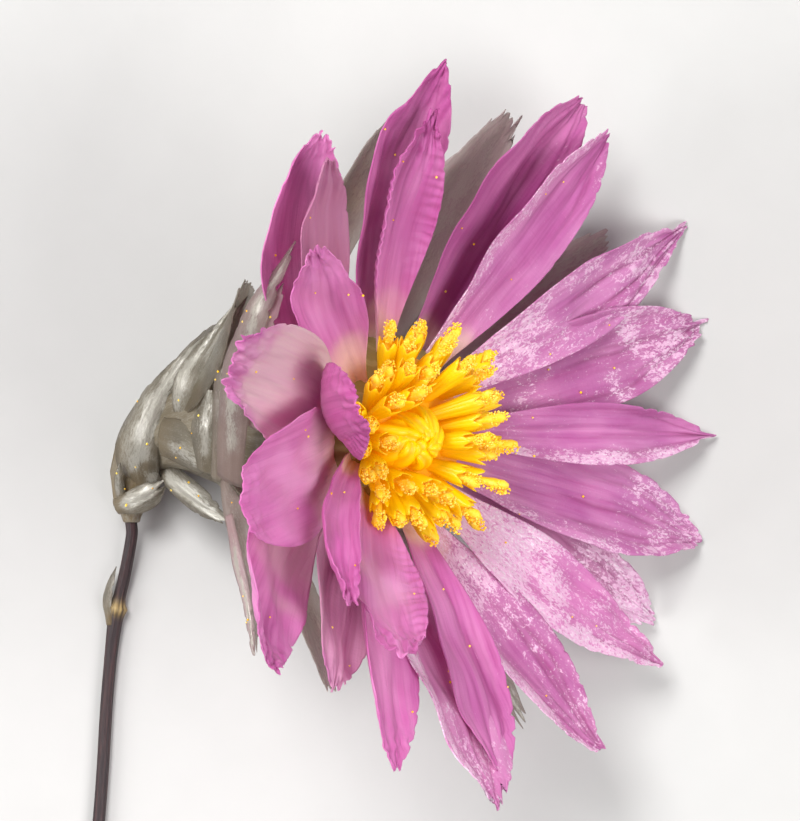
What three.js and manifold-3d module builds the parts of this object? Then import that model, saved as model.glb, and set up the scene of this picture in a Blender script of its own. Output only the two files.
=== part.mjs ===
// A dried swan river everlasting, lying on its side: one flower head on a cut stem.
// Units are millimetres and degrees. +Z is up and z = 0 is the surface that it lies on.
// The origin is the flat spot under the foot of the head. The stem runs off along -Y.

import * as THREE from 'three';
import Module from 'manifold-3d';

const wasm = await Module();
wasm.setup();

// The head: the middle of the ring that its pink bracts stand on, and the axis that leans up
// from the surface.
const RING_CENTRE = [11.3, 1.4, 10.2];
const AXIS_RISE = 37;
const AXIS_HEADING = 4;

// The middle line of the silver funnel, a Bezier curve from the stem to the ring.
const NECK = [-0.65, -2.45, 0.92];
const NECK_PULL = [-0.75, 2.8, 0.6];
const RING_PULL = [3.0, 1.6, 3.9];

// Blade walls, and the clearance between the four nodes.
const THICKNESS = 0.6;
const GAP = 0.3;
const ROOT_DEPTH = 0.9;
const TIGHTEST_ROLL = 0.5;

// How far a silver bract may run into the surface before it is shortened, step by step.
const DEEPEST_TRIM = 0.35;
const SHORTENING = 0.94;
const SHORTEST = 1 / 3;

// The space under the surface: how far it reaches to each side, and how deep.
const SURFACE_REACH = 150;
const SURFACE_DEPTH = 9;

// Pink bracts stand in three rows: the radius and height of each row's roots on the ring.
const PINK_ROWS = [
  { radius: 3.6, height: 0 },
  { radius: 3.9, height: -0.7 },
  { radius: 4.1, height: -1.4 },
];

// Each pink bract: turn round the axis from its lowest side, row, length, width, lift above
// the ring at the claw and at the tip, half-angle of its channel, and twist along its length.
const PINK_BRACTS = [
  [-4.5, 0, 13.7, 2.8, 31, 12, 30, 0],
  [-20.5, 1, 14.0, 4.2, 31, 13, 20, 0],
  [-33, 2, 13.4, 3.6, 27, 8, 20, 0],
  [-40.5, 0, 14.2, 4.4, 24, 6, 18, 0],
  [-61, 1, 13.6, 3.4, 28, 10, 30, 0],
  [-95, 0, 13.0, 3.6, 30, 18, 30, 10],
  [-99, 2, 14.2, 4.4, 36, 24, 25, 0],
  [-118, 1, 13.4, 3.4, 28, 20, 35, 0],
  [-131, 2, 12.6, 3.8, 30, 26, 30, 0],
  [-134, 0, 11.0, 3.4, 26, 46, 45, 10],
  [-147, 0, 10.6, 2.4, 21, 33, 80, 0],
  [-145, 2, 13.2, 5.0, 22, 17, 25, 0],
  [-170, 1, 11.5, 5.2, 21, 13, 30, 0],
  [171, 1, 11.5, 4.8, 24, 16, 25, 0],
  [173, 0, 8.6, 4.6, 10, 70, 40, 0],
  [147, 0, 11.0, 4.0, 23, 31, 50, 0],
  [134, 2, 13.2, 4.4, 8, 40, 40, -20],
  [126, 1, 13.0, 3.8, 6, 40, 30, -20],
  [104, 0, 11.4, 2.8, 17, 37, 80, -20],
  [99, 1, 13.6, 4.0, 17, 41, 45, -25],
  [54, 1, 14.0, 4.8, 10, 26, 30, 0],
  [48, 0, 13.4, 3.8, 24, 10, 30, 0],
  [27, 0, 15.4, 4.2, 30, 5, 25, 0],
  [13, 1, 14.0, 4.4, 33, 15, 22, 0],
];

// Silver bracts that stand out: share of the way up the funnel, distance of the root from its
// middle, turn, length, width, lift at the root and at the tip, channel and twist.
const SILVER_BRACTS = [
  [0.2, 0.6, 92, 6.0, 3.2, 74, 118, 60, 0],
  [0.2, 0.6, 165, 5.4, 3.0, 66, 104, 60, 0],
  [0.3, 1.0, -122, 4.8, 2.8, 22, 40, 50, 0],
  [0.36, 1.2, 30, 8.4, 3.4, 44, 34, 40, 0],
  [0.42, 1.4, 103, 10.6, 3.2, 74, 62, 45, 0],
  [0.6, 2.5, -116, 8.6, 3.0, 38, 24, 35, 0],
  [0.75, 3.2, 97, 12.7, 3.4, 29, 41, 30, -10],
  [0.72, 3.3, -112, 11.4, 3.4, 46, 36, 25, 0],
  [0.88, 4.2, 57, 11.6, 4.6, 9, 25, 22, 0],
  [0.88, 4.2, 38, 11.0, 4.0, 20, 6, 20, 0],
  [0.88, 4.2, -56, 12.2, 3.4, 10, 2, 20, 0],
];

// The rest of the silver bracts, in rows up the funnel.
const SILVER_ROWS = [
  { at: 0.14, radius: 0.5, count: 4, length: 3.0, width: 2.4, lift: [74, 112], roll: 60 },
  { at: 0.26, radius: 0.8, count: 5, length: 4.4, width: 3.2, lift: [66, 94], roll: 60 },
  { at: 0.4, radius: 1.2, count: 7, length: 5.8, width: 3.6, lift: [66, 76], roll: 50 },
  { at: 0.56, radius: 2.1, count: 8, length: 9.0, width: 4.0, lift: [60, 44], roll: 36 },
];
const ROW_OFFSET = 0.37;
const JITTER = { turn: 10, length: 0.1, lift: 4 };

// Outlines: width at the claw, share of the length at the belly, width at the tip, how suddenly
// the tip narrows. Then the lift of the smallest bracts, at the root and at the tip.
const PINK_SHAPE = { claw: 0.34, belly: 0.55, tip: 0.26, sharp: 2.2 };
const SILVER_SHAPE = { claw: 0.7, belly: 0.5, tip: 0.4, sharp: 2.2 };
const SMALL_SHAPE = { claw: 0.7, belly: 0.55, tip: 0.3, sharp: 2.2 };
const SWELL = 1.3;
const SMALL_LIFT = [-8, 12];

// The scarious bracts at the very foot of the head, round the neck: root place, the direction
// that each leans to, length and width.
const NECK_BRACTS = [
  { root: [-0.8, -2.0, 1.0], lean: [-0.12, 1, 0.15], length: 2.3, width: 1.3, roll: 50 },
  { root: [-0.2, -1.9, 1.0], lean: [0.85, 0.75, 0.1], length: 2.6, width: 1.7, roll: 50 },
  { root: [-0.5, -1.8, 1.6], lean: [0.1, 0.8, 0.75], length: 2.2, width: 1.6, roll: 50 },
];

// The funnel's own radius at shares of its middle line, and the pleats of its surface.
const FUNNEL = [
  [0, 0.42], [0.05, 0.8], [0.13, 1.15], [0.22, 1.36], [0.3, 1.5], [0.4, 1.75], [0.52, 2.3],
  [0.64, 2.9], [0.76, 3.5], [0.84, 3.8], [0.9, 3.8],
];
const FUNNEL_PLEATS = 8;
const PLEAT_DEPTH = 0.05;

// The collar that carries the pink bracts, and the cushion that carries the florets.
const COLLAR = [[-2.5, 3.6], [-2.0, 4.2], [-0.4, 4.35], [0.3, 3.8]];
const COLLAR_MIDDLE = -1.1;
const CUSHION = [[0.65, 3.1], [1.1, 3.3], [1.8, 2.7], [2.3, 1.4], [2.5, 0.4]];
const CUSHION_TOP = 2.5;
const CUSHION_DROP = 1.5;
const RING_SIDES = 16;

// Florets by the golden angle: closed buds in the middle, open ones round them.
const FLORET_COUNT = 40;
const BUD_SHARE = 0.52;
const FLORET_SPREAD = 3.05;
const FLORET_LEAN = 66;
const LEAN_POWER = 1.6;
const GOLDEN_ANGLE = 137.508;
const BUD = [[-0.4, 0.32], [0.7, 0.44], [1.4, 0.14]];
const OPEN_FLORET = [[-0.4, 0.28], [1.75, 0.62], [1.5, 0.24], [2.5, 0.2]];
const LOBED_STEP = 1;
const LOBE_NOTCH = 0.5;
const BUD_SIDES = 6;
const OPEN_SIDES = 10;
const POINT = 0.08;

// The stem: the points its middle runs through, its radius, and the node with its one scale.
const STEM_ROUTE = [
  [-0.67, -2.75, 0.86], [-0.66, -3.4, 0.74], [-0.98, -5.1, 0.46], [-1.38, -6.9, 0.33],
  [-1.75, -10.3, 0.3], [-2.1, -15.6, 0.3], [-2.9, -24, 0.3], [-4.0, -33, 0.3], [-5.0, -42, 0.3],
];
const STEM_RADIUS = 0.29;
const STEM_SIDES = 8;
const STEM_STEPS = 36;
const NODE_AT = [-1.32, -6.55, 0.42];
const NODE_LEAN = [0.2, 1, 0];
const NODE = [[-0.35, 0.3], [0, 0.42], [0.35, 0.3]];
const SCALE = { root: [-1.5, -6.6, 0.5], lean: [0.12, 1, 0.1], length: 2.2, width: 1.0, roll: 60 };

// The minimal standard generator of seeded draws.
const SEED = 1907;
const MULTIPLIER = 48271;
const MODULUS = 2147483647;

const TIP_TEETH = [-0.045, 0.012, -0.02, 0.02, -0.04];

// A seeded draw between -1 and 1.
let state = SEED;
function draw() {
  state = (state * MULTIPLIER) % MODULUS;
  return (2 * state) / MODULUS - 1;
}

const rad = THREE.MathUtils.degToRad;
const vector = (list) => new THREE.Vector3(...list);

// A frame at a place: its axis, the direction of its lowest side, and the side a quarter turn on.
function frameAt(place, axis) {
  const low = axis.clone().multiplyScalar(axis.z).sub(new THREE.Vector3(0, 0, 1)).normalize();
  return { place, axis, low, side: new THREE.Vector3().crossVectors(axis, low) };
}
const HEAD = frameAt(vector(RING_CENTRE), new THREE.Vector3(
  Math.cos(rad(AXIS_RISE)) * Math.cos(rad(AXIS_HEADING)),
  Math.cos(rad(AXIS_RISE)) * Math.sin(rad(AXIS_HEADING)),
  Math.sin(rad(AXIS_RISE)),
));
const SPINE = new THREE.CubicBezierCurve3(
  vector(NECK), vector(NECK_PULL), vector(RING_PULL), vector(RING_CENTRE));
const spineFrame = (share) => frameAt(SPINE.getPoint(share), SPINE.getTangent(share));

// A direction square to a frame's axis at this turn, and a point at a radius, turn and height.
function outward({ low, side }, turn) {
  return low.clone().multiplyScalar(Math.cos(rad(turn))).addScaledVector(side, Math.sin(rad(turn)));
}

function pointIn(frame, radius, turn, height) {
  return frame.place.clone().addScaledVector(outward(frame, turn), radius)
    .addScaledVector(frame.axis, height);
}

// Turns lists of vertices and triangles into a solid.
function solid(points, triangles) {
  return new wasm.Manifold(new wasm.Mesh({
    numProp: 3,
    vertProperties: new Float32Array(points.flatMap((p) => [p.x, p.y, p.z])),
    triVerts: new Uint32Array(triangles.flat()),
  }));
}

// A closed body from loops of equal length, with a point closing each end.
function loft(loops, first, last) {
  const sides = loops[0].length;
  const points = [...loops.flat(), first, last];
  const start = points.length - 2;
  const end = points.length - 1;
  const triangles = [];
  for (let k = 0; k < sides; k++) {
    const next = (k + 1) % sides;
    const top = (loops.length - 1) * sides;
    triangles.push([start, next, k], [end, top + k, top + next]);
    for (let i = 0; i < loops.length - 1; i++) {
      const low = i * sides;
      const high = low + sides;
      triangles.push([low + k, low + next, high + next], [low + k, high + next, high + k]);
    }
  }
  return solid(points, triangles);
}

// Width along a blade as a share of its greatest: narrow claw, belly, blunt tip.
function halfWidth(s, { claw, belly, tip, sharp }) {
  if (s < belly) return claw + (1 - claw) * Math.sin((Math.PI / 2) * (s / belly)) ** SWELL;
  return 1 - (1 - tip) * ((s - belly) / (1 - belly)) ** sharp;
}

// A bract: its middle line leaves the root at lift[0] above the ring and bends to lift[1],
// its section is an arc that opens towards the axis, and its tip is toothed.
// `grow` makes the whole blade thicker, wider and longer, for cutting its neighbours clear.
function blade({ root, out, up, length, width, lift, roll, twist = 0, shape, steps, across, grow = 0 }) {
  const side = new THREE.Vector3().crossVectors(up, out);
  const half = THICKNESS / 2 + grow;
  const faces = [[], []];
  const middle = root.clone();
  let before = null;
  for (let i = -1; i <= steps; i++) {
    const s = Math.max(i, 0) / steps;
    const angle = rad(lift[0] + (lift[1] - lift[0]) * s);
    const along = out.clone().multiplyScalar(Math.cos(angle)).addScaledVector(up, Math.sin(angle));
    if (i < 0) middle.addScaledVector(along, -ROOT_DEPTH);
    else if (i === 0) middle.copy(root);
    else middle.addScaledVector(before.add(along).normalize(), length / steps);
    before = along.clone();
    const turn = rad(twist * s);
    const inner = new THREE.Vector3().crossVectors(along, side);
    const wide = side.clone().multiplyScalar(Math.cos(turn)).addScaledVector(inner, Math.sin(turn));
    inner.crossVectors(along, wide);
    const w = (width / 2) * halfWidth(s, shape) + grow;
    const bend = Math.min(rad(roll), w / TIGHTEST_ROLL);
    for (let j = 0; j <= across; j++) {
      const t = (2 * j) / across - 1;
      const tooth = i === steps ? TIP_TEETH[j % TIP_TEETH.length] * length + grow : 0;
      const point = middle.clone().addScaledVector(along, tooth)
        .addScaledVector(wide, (w / bend) * Math.sin(bend * t))
        .addScaledVector(inner, (w / bend) * (1 - Math.cos(bend * t)));
      const normal = inner.clone().multiplyScalar(Math.cos(bend * t))
        .addScaledVector(wide, -Math.sin(bend * t));
      faces[0].push(point.clone().addScaledVector(normal, half));
      faces[1].push(point.clone().addScaledVector(normal, -half));
    }
  }
  return sheet(faces, steps + 2, across + 1);
}

// A closed sheet from its inner and outer grids of points, split into triangles alike.
function sheet([inner, outer], rows, columns) {
  const count = rows * columns;
  const triangles = [];
  const rim = (p, q) => triangles.push([q, p, p + count], [q, p + count, q + count]);
  for (let i = 0; i < rows - 1; i++)
    for (let j = 0; j < columns - 1; j++) {
      const a = i * columns + j;
      const b = a + columns;
      for (const [p, q, r] of [[a, b, b + 1], [a, b + 1, a + 1]])
        triangles.push([p, q, r], [count + p, count + r, count + q]);
    }
  for (let i = 0; i < rows - 1; i++) {
    rim(i * columns, (i + 1) * columns);
    rim((i + 2) * columns - 1, (i + 1) * columns - 1);
  }
  for (let j = 0; j < columns - 1; j++) {
    rim((rows - 1) * columns + j, (rows - 1) * columns + j + 1);
    rim(j + 1, j);
  }
  return solid([...inner, ...outer], triangles);
}

function pinkBlade([turn, row, length, width, claw, tip, roll, twist], grow = 0) {
  const { radius, height } = PINK_ROWS[row];
  return blade({
    root: pointIn(HEAD, radius, turn, height), out: outward(HEAD, turn), up: HEAD.axis,
    length, width, lift: [claw, tip], roll, twist, shape: PINK_SHAPE, steps: 6, across: 4, grow,
  });
}

// A silver bract, shortened where it would run into the surface that the head lies on.
function silverBlade([at, radius, turn, length, width, low, high, roll, twist]) {
  const frame = spineFrame(at);
  const make = (reach) => blade({
    root: pointIn(frame, radius, turn, 0), out: outward(frame, turn), up: frame.axis,
    length: reach, width, lift: [low, high], roll, twist, shape: SILVER_SHAPE,
    steps: 5, across: 2,
  });
  let reach = length;
  while (make(reach).boundingBox().min[2] < -DEEPEST_TRIM && reach > length * SHORTEST)
    reach *= SHORTENING;
  return make(reach);
}

// A small bract that leans away from a point of the neck or the stem.
function smallBlade({ root, lean, length, width, roll }) {
  const along = vector(lean).normalize();
  const across = new THREE.Vector3().crossVectors(along, new THREE.Vector3(0, 0, 1)).normalize();
  return blade({
    root: vector(root), out: along, up: across.cross(along), length, width, lift: SMALL_LIFT, roll,
    shape: SMALL_SHAPE, steps: 3, across: 3,
  });
}

// A loop of points round a place, square to a direction, with every second one drawn in.
function loop(centre, direction, radius, sides, notch = 0) {
  const first = Math.abs(direction.z) < 0.9 ? new THREE.Vector3(0, 0, 1) : new THREE.Vector3(1, 0, 0);
  const u = new THREE.Vector3().crossVectors(first, direction).normalize();
  const v = new THREE.Vector3().crossVectors(direction, u);
  return Array.from({ length: sides }, (_, k) => {
    const angle = (2 * Math.PI * k) / sides;
    const reach = radius * (k % 2 ? 1 - notch : 1);
    return centre.clone().addScaledVector(u, reach * Math.cos(angle))
      .addScaledVector(v, reach * Math.sin(angle));
  });
}

// A body along a direction, from pairs of distance and radius, with a blunt point at its end.
function spindle(foot, along, profile, sides, notchOf = () => 0) {
  const at = (distance) => foot.clone().addScaledVector(along, distance);
  const loops = profile.map(([distance, radius], step) =>
    loop(at(distance), along, radius, sides, notchOf(step)));
  return loft(loops, at(profile[0][0]), at(profile[profile.length - 1][0] + POINT));
}

const turned = (profile) => spindle(HEAD.place, HEAD.axis, profile, RING_SIDES);

function funnel() {
  const loops = FUNNEL.map(([at, radius]) => {
    const { place, axis } = spineFrame(at);
    return loop(place, axis, radius, 2 * FUNNEL_PLEATS, PLEAT_DEPTH);
  });
  return loft(loops, SPINE.getPoint(FUNNEL[0][0]), SPINE.getPoint(FUNNEL[FUNNEL.length - 1][0]));
}

function floret(index) {
  const share = Math.sqrt((index + 0.5) / FLORET_COUNT);
  const turn = GOLDEN_ANGLE * index;
  const radius = FLORET_SPREAD * share;
  const lean = rad(FLORET_LEAN * share ** LEAN_POWER);
  const foot = pointIn(HEAD, radius, turn, CUSHION_TOP - CUSHION_DROP * share ** 2);
  const along = HEAD.axis.clone().multiplyScalar(Math.cos(lean))
    .addScaledVector(outward(HEAD, turn), Math.sin(lean));
  if ((index + 0.5) / FLORET_COUNT < BUD_SHARE) return spindle(foot, along, BUD, BUD_SIDES);
  return spindle(foot, along, OPEN_FLORET, OPEN_SIDES,
    (step) => (step === LOBED_STEP ? LOBE_NOTCH : 0));
}

function stemTube(grow = 0) {
  const curve = new THREE.CatmullRomCurve3(STEM_ROUTE.map(vector));
  const loops = Array.from({ length: STEM_STEPS + 1 }, (_, i) => {
    const u = i / STEM_STEPS;
    return loop(curve.getPointAt(u), curve.getTangentAt(u), STEM_RADIUS + grow, STEM_SIDES);
  });
  return loft(loops, curve.getPointAt(0), curve.getPointAt(1));
}

const stemNode = () => spindle(vector(NODE_AT), vector(NODE_LEAN).normalize(), NODE, STEM_SIDES);

// The space below the surface that the flower lies on.
const UP = new THREE.Vector3(0, 0, 1);
const BELOW = loft([-SURFACE_DEPTH, 0].map((z) => loop(vector([0, 0, z]), UP, SURFACE_REACH, 4)),
  vector([0, 0, -SURFACE_DEPTH]), vector([0, 0, 0]));

// Fuses solids, cuts others away, trims what would reach below the surface, and keeps the one
// whole body: scraps that a cut sets loose are dropped, and sealed hollows are filled.
function whole(pieces, cutters = []) {
  let body = pieces.reduce((sum, piece) => sum.add(piece));
  for (const cutter of cutters) body = body.subtract(cutter);
  return body.subtract(BELOW).decompose().reduce((a, b) => (a.volume() > b.volume() ? a : b));
}

function mesh(name, body, color, roughness) {
  const { vertProperties, triVerts } = body.getMesh();
  const geometry = new THREE.BufferGeometry()
    .setAttribute('position', new THREE.BufferAttribute(vertProperties, 3))
    .setIndex(new THREE.BufferAttribute(triVerts, 1)).toNonIndexed();
  geometry.computeVertexNormals();
  const made = new THREE.Mesh(geometry, new THREE.MeshStandardMaterial({ color, roughness, metalness: 0 }));
  made.name = name;
  return made;
}

// Silver bracts set by the rule: evenly round the funnel in rows, each a little out of true.
function silverRow({ at, radius, count, length, width, lift, roll }, row) {
  return Array.from({ length: count }, (_, i) => silverBlade([
    at, radius, (360 * (i + row * ROW_OFFSET)) / count + JITTER.turn * draw(),
    length * (1 + JITTER.length * draw()), width,
    lift[0] + JITTER.lift * draw(), lift[1] + JITTER.lift * draw(), roll, 0]));
}

const pinkPieces = [turned(COLLAR), ...PINK_BRACTS.map((bract) => pinkBlade(bract))];
const pinkClearance = PINK_BRACTS.map((bract) => pinkBlade(bract, GAP));
const collarClearance = turned(COLLAR.map(([height, radius]) =>
  [height + GAP * Math.sign(height - COLLAR_MIDDLE), radius + GAP]));
const silverPieces = [
  funnel(),
  ...NECK_BRACTS.map(smallBlade),
  ...SILVER_ROWS.flatMap(silverRow),
  ...SILVER_BRACTS.map(silverBlade),
];
const silverClearance = [...pinkClearance, collarClearance, stemTube(GAP)];
const floretPieces = [
  turned(CUSHION),
  ...Array.from({ length: FLORET_COUNT }, (_, i) => floret(i)),
];
const stemPieces = [stemTube(), stemNode(), smallBlade(SCALE)];

const flower = new THREE.Group();
flower.add(
  mesh('pink_bracts', whole(pinkPieces), 0xcd69b4, 0.45),
  mesh('silver_bracts', whole(silverPieces, silverClearance), 0xb4aa9b, 0.35),
  mesh('disc_florets', whole(floretPieces, pinkClearance), 0xffc400, 0.6),
  mesh('stem', whole(stemPieces), 0x43202b, 0.5),
);

export default flower;
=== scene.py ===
"""The looks of a dried swan river everlasting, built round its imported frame.

The flower lies on its side: the head leans on the tips of its lowest bracts, its silver foot
rests on the surface at the origin, and the cut stem runs off along -Y. Sizes are millimetres and
degrees, and MM turns them into metres where a mesh is made. Each bract, scale and floret stands
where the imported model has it, on a thinner and finer surface.
"""

from __future__ import annotations

import logging
import math
from collections.abc import Sequence
from dataclasses import dataclass, field
from enum import Enum
from itertools import combinations

import bpy
import numpy as np
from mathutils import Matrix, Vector


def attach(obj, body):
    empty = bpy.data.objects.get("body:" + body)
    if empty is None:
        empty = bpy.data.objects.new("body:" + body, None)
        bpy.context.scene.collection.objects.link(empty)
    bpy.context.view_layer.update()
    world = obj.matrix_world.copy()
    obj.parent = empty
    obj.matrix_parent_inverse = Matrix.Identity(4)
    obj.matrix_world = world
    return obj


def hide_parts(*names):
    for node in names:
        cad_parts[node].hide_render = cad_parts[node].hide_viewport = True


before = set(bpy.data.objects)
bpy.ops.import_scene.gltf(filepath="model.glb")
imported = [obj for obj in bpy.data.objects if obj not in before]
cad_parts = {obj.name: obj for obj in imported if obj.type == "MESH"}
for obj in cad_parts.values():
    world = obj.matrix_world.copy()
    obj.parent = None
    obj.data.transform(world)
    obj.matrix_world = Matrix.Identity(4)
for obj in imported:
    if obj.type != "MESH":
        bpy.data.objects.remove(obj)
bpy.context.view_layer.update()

LOG = logging.getLogger("everlasting")
Array = np.ndarray

MM = 0.001
ROOT_BODY = "root"
GOLDEN_ANGLE = 137.508

# The head: the middle of the ring that the pink bracts stand on, and its axis.
RING_CENTRE = (11.3, 1.4, 10.2)
AXIS_RISE = 37.0
AXIS_HEADING = 4.0

# The middle line of the silver funnel, a Bezier curve from the stem to the ring.
SPINE_POINTS = ((-0.65, -2.45, 0.92), (-0.75, 2.8, 0.6), (3.0, 1.6, 3.9), RING_CENTRE)

# How deep a root is sunk in what carries it, and the tightest curl of a blade's section.
ROOT_DEPTH = 0.9
TIGHTEST_ROLL = 0.5
SWELL_POWER = 1.3

# The middle of a noise.
MEAN = 0.5

# Fibres of the papery bracts, across the blade.
VEIN_PITCH = 0.42
VEIN_HEIGHT = 0.010


class Slot(Enum):
    """The material slots of the record."""

    PINK = "pink_bract"
    SILVER = "silver_bract"
    YELLOW = "disc_yellow"
    STEM = "stem_purple"


class Node(Enum):
    """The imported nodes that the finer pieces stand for."""

    PINK = "pink_bracts"
    SILVER = "silver_bracts"
    DISC = "disc_florets"
    STEM = "stem"


def unit(vectors: Array) -> Array:
    """Vectors of any shape (..., 3) at length one."""
    return vectors / np.linalg.norm(vectors, axis=-1, keepdims=True)


def step(values: Array, low: float, high: float) -> Array:
    """A smooth step from 0 at low to 1 at high: 3x^2 - 2x^3 of the share between them."""
    share = np.clip((values - low) / (high - low), 0.0, 1.0)
    return share * share * (3.0 - 2.0 * share)


def settled(points: Array, cushion: float) -> Array:
    """Bends what would reach into the surface that the flower lies on.

    Below a height of cushion, z becomes cushion * exp((z - cushion) / cushion), which meets z
    smoothly there and never reaches zero.

    Args:
        points: Points (..., 3) in millimetres.
        cushion: The height under which the bending starts.

    Returns:
        The points, all above the surface.
    """
    z = points[..., 2]
    bent = cushion * np.exp((np.minimum(z, cushion) - cushion) / cushion)
    return np.concatenate([points[..., :2], np.where(z < cushion, bent, z)[..., None]], -1)


class Ripples:
    """Smooth seeded noise over two lengths: the mean of sines with drawn headings and lengths."""

    LENGTHS = (0.6, 1.6)
    DAMPING = 1.6

    def __init__(self, seed: int, size: float, waves: int = 8) -> None:
        """Draws the waves.

        Args:
            seed: The seed of the draws.
            size: The usual length of a wave.
            waves: How many sines are added.
        """
        draws = np.random.default_rng(seed)
        heading = draws.uniform(0.0, 2.0 * np.pi, waves)
        rate = 2.0 * np.pi / (size * draws.uniform(*self.LENGTHS, waves))
        self.along = rate * np.cos(heading)
        self.across = rate * np.sin(heading)
        self.phase = draws.uniform(0.0, 2.0 * np.pi, waves)

    def __call__(self, x: Array, y: Array | float = 0.0) -> Array:
        """The noise at lengths x and y, mostly between -1 and 1."""
        x, y = np.broadcast_arrays(x, y)
        angle = x[..., None] * self.along + y[..., None] * self.across + self.phase
        return np.sin(angle).mean(-1) * math.sqrt(2.0 * len(self.phase)) / self.DAMPING


def curve_through(points: Array, fine: int = 24) -> Array:
    """A Catmull-Rom curve through points.

    Between two points it is the cubic that leaves each along the line joining its neighbours.

    Args:
        points: The points (count, 3).
        fine: How many steps lie between two of them.

    Returns:
        Points (steps, 3) along the curve.
    """
    ends = np.concatenate([[2 * points[0] - points[1]], points, [2 * points[-1] - points[-2]]])
    x = np.linspace(0, 1, fine, endpoint=False)[:, None]
    pieces = []
    for k in range(len(points) - 1):
        a, b, c, d = ends[k: k + 4]
        pieces.append(0.5 * (2 * b + (c - a) * x + (2 * a - 5 * b + 4 * c - d) * x**2
                             + (3 * b - a - 3 * c + d) * x**3))
    return np.concatenate([*pieces, points[-1:]])


def lengths_along(points: Array) -> Array:
    """The length of the way from the first point to each point."""
    return np.concatenate([[0.0], np.cumsum(np.linalg.norm(np.diff(points, axis=0), axis=1))])


@dataclass(frozen=True)
class Basis:
    """A place with an axis, the direction of its lowest side and the side a quarter turn on."""

    place: Array
    axis: Array

    @property
    def low(self) -> Array:
        """The direction square to the axis that points most nearly down."""
        return unit(self.axis * self.axis[2] - np.array([0.0, 0.0, 1.0]))

    @property
    def side(self) -> Array:
        """The direction a quarter turn on from the lowest side."""
        return np.cross(self.axis, self.low)

    def outward(self, turn: float) -> Array:
        """The direction square to the axis at this turn, in degrees."""
        angle = math.radians(turn)
        return self.low * math.cos(angle) + self.side * math.sin(angle)

    def point(self, radius: float, turn: float, height: float) -> Array:
        """The point at this radius, turn and height."""
        return self.place + self.outward(turn) * radius + self.axis * height


def head_basis() -> Basis:
    """The frame of the flower head, from its rise and heading.

    Returns:
        The frame.
    """
    rise, heading = math.radians(AXIS_RISE), math.radians(AXIS_HEADING)
    flat = math.cos(rise)
    axis = (flat * math.cos(heading), flat * math.sin(heading), math.sin(rise))
    return Basis(np.array(RING_CENTRE), np.array(axis))


HEAD = head_basis()


@dataclass(frozen=True)
class Spine:
    """The middle line of the funnel, a cubic Bezier curve."""

    points: Array

    def at(self, share: float) -> Basis:
        """The frame at a share of the curve: its point and the direction it runs in.

        Args:
            share: The share, from 0 at the neck to 1 at the head.

        Returns:
            The frame.
        """
        a, b, c, d = self.points
        rest = 1.0 - share
        place = rest**3 * a + 3 * rest**2 * share * b + 3 * rest * share**2 * c + share**3 * d
        tangent = rest**2 * (b - a) + 2 * rest * share * (c - b) + share**2 * (d - c)
        return Basis(place, unit(tangent))


SPINE = Spine(np.array(SPINE_POINTS))


class Draws:
    """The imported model's own draws between -1 and 1, by the minimal standard generator."""

    MULTIPLIER = 48271
    MODULUS = 2147483647

    def __init__(self, seed: int) -> None:
        """Starts at a seed."""
        self.state = seed

    def __call__(self) -> float:
        """The next draw."""
        self.state = self.state * self.MULTIPLIER % self.MODULUS
        return 2.0 * self.state / self.MODULUS - 1.0


@dataclass
class Body:
    """A closed surface with what its finish needs to know at each point.

    The grain layer holds millimetres along and across the body and a number of its own. The tint
    layer, and the marks layer where there is one, hold four shares each.
    """

    points: Array
    faces: list[list[int]]
    smooth: Array
    layers: dict[str, Array]


def make_piece(name: str, bodies: Sequence[Body], finish: Finish, node: Node) -> None:
    """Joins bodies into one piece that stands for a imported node.

    Args:
        name: The piece's name.
        bodies: The closed surfaces that it is made of.
        finish: What it is dressed in.
        node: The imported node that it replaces.
    """
    starts = np.cumsum([0] + [len(body.points) for body in bodies[:-1]])
    faces = [[int(start) + k for k in face] for start, body in zip(starts, bodies) for face in body.faces]
    mesh = bpy.data.meshes.new(name)
    mesh.from_pydata(np.concatenate([body.points for body in bodies]) * MM, [], faces)
    mesh.polygons.foreach_set("use_smooth", np.concatenate([body.smooth for body in bodies]))
    for layer in bodies[0].layers:
        values = np.concatenate([body.layers[layer] for body in bodies]).ravel()
        kind, field_name = ("FLOAT_VECTOR", "vector") if layer == "grain" else ("FLOAT_COLOR", "color")
        mesh.attributes.new(layer, kind, "POINT").data.foreach_set(field_name, values)
    mesh.materials.append(finish.material())
    mesh.update()
    piece = bpy.data.objects.new(name, mesh)
    bpy.context.scene.collection.objects.link(piece)
    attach(piece, ROOT_BODY)
    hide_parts(node.value)
    LOG.info("%s: %d bodies, %d faces", name, len(bodies), len(faces))


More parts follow.
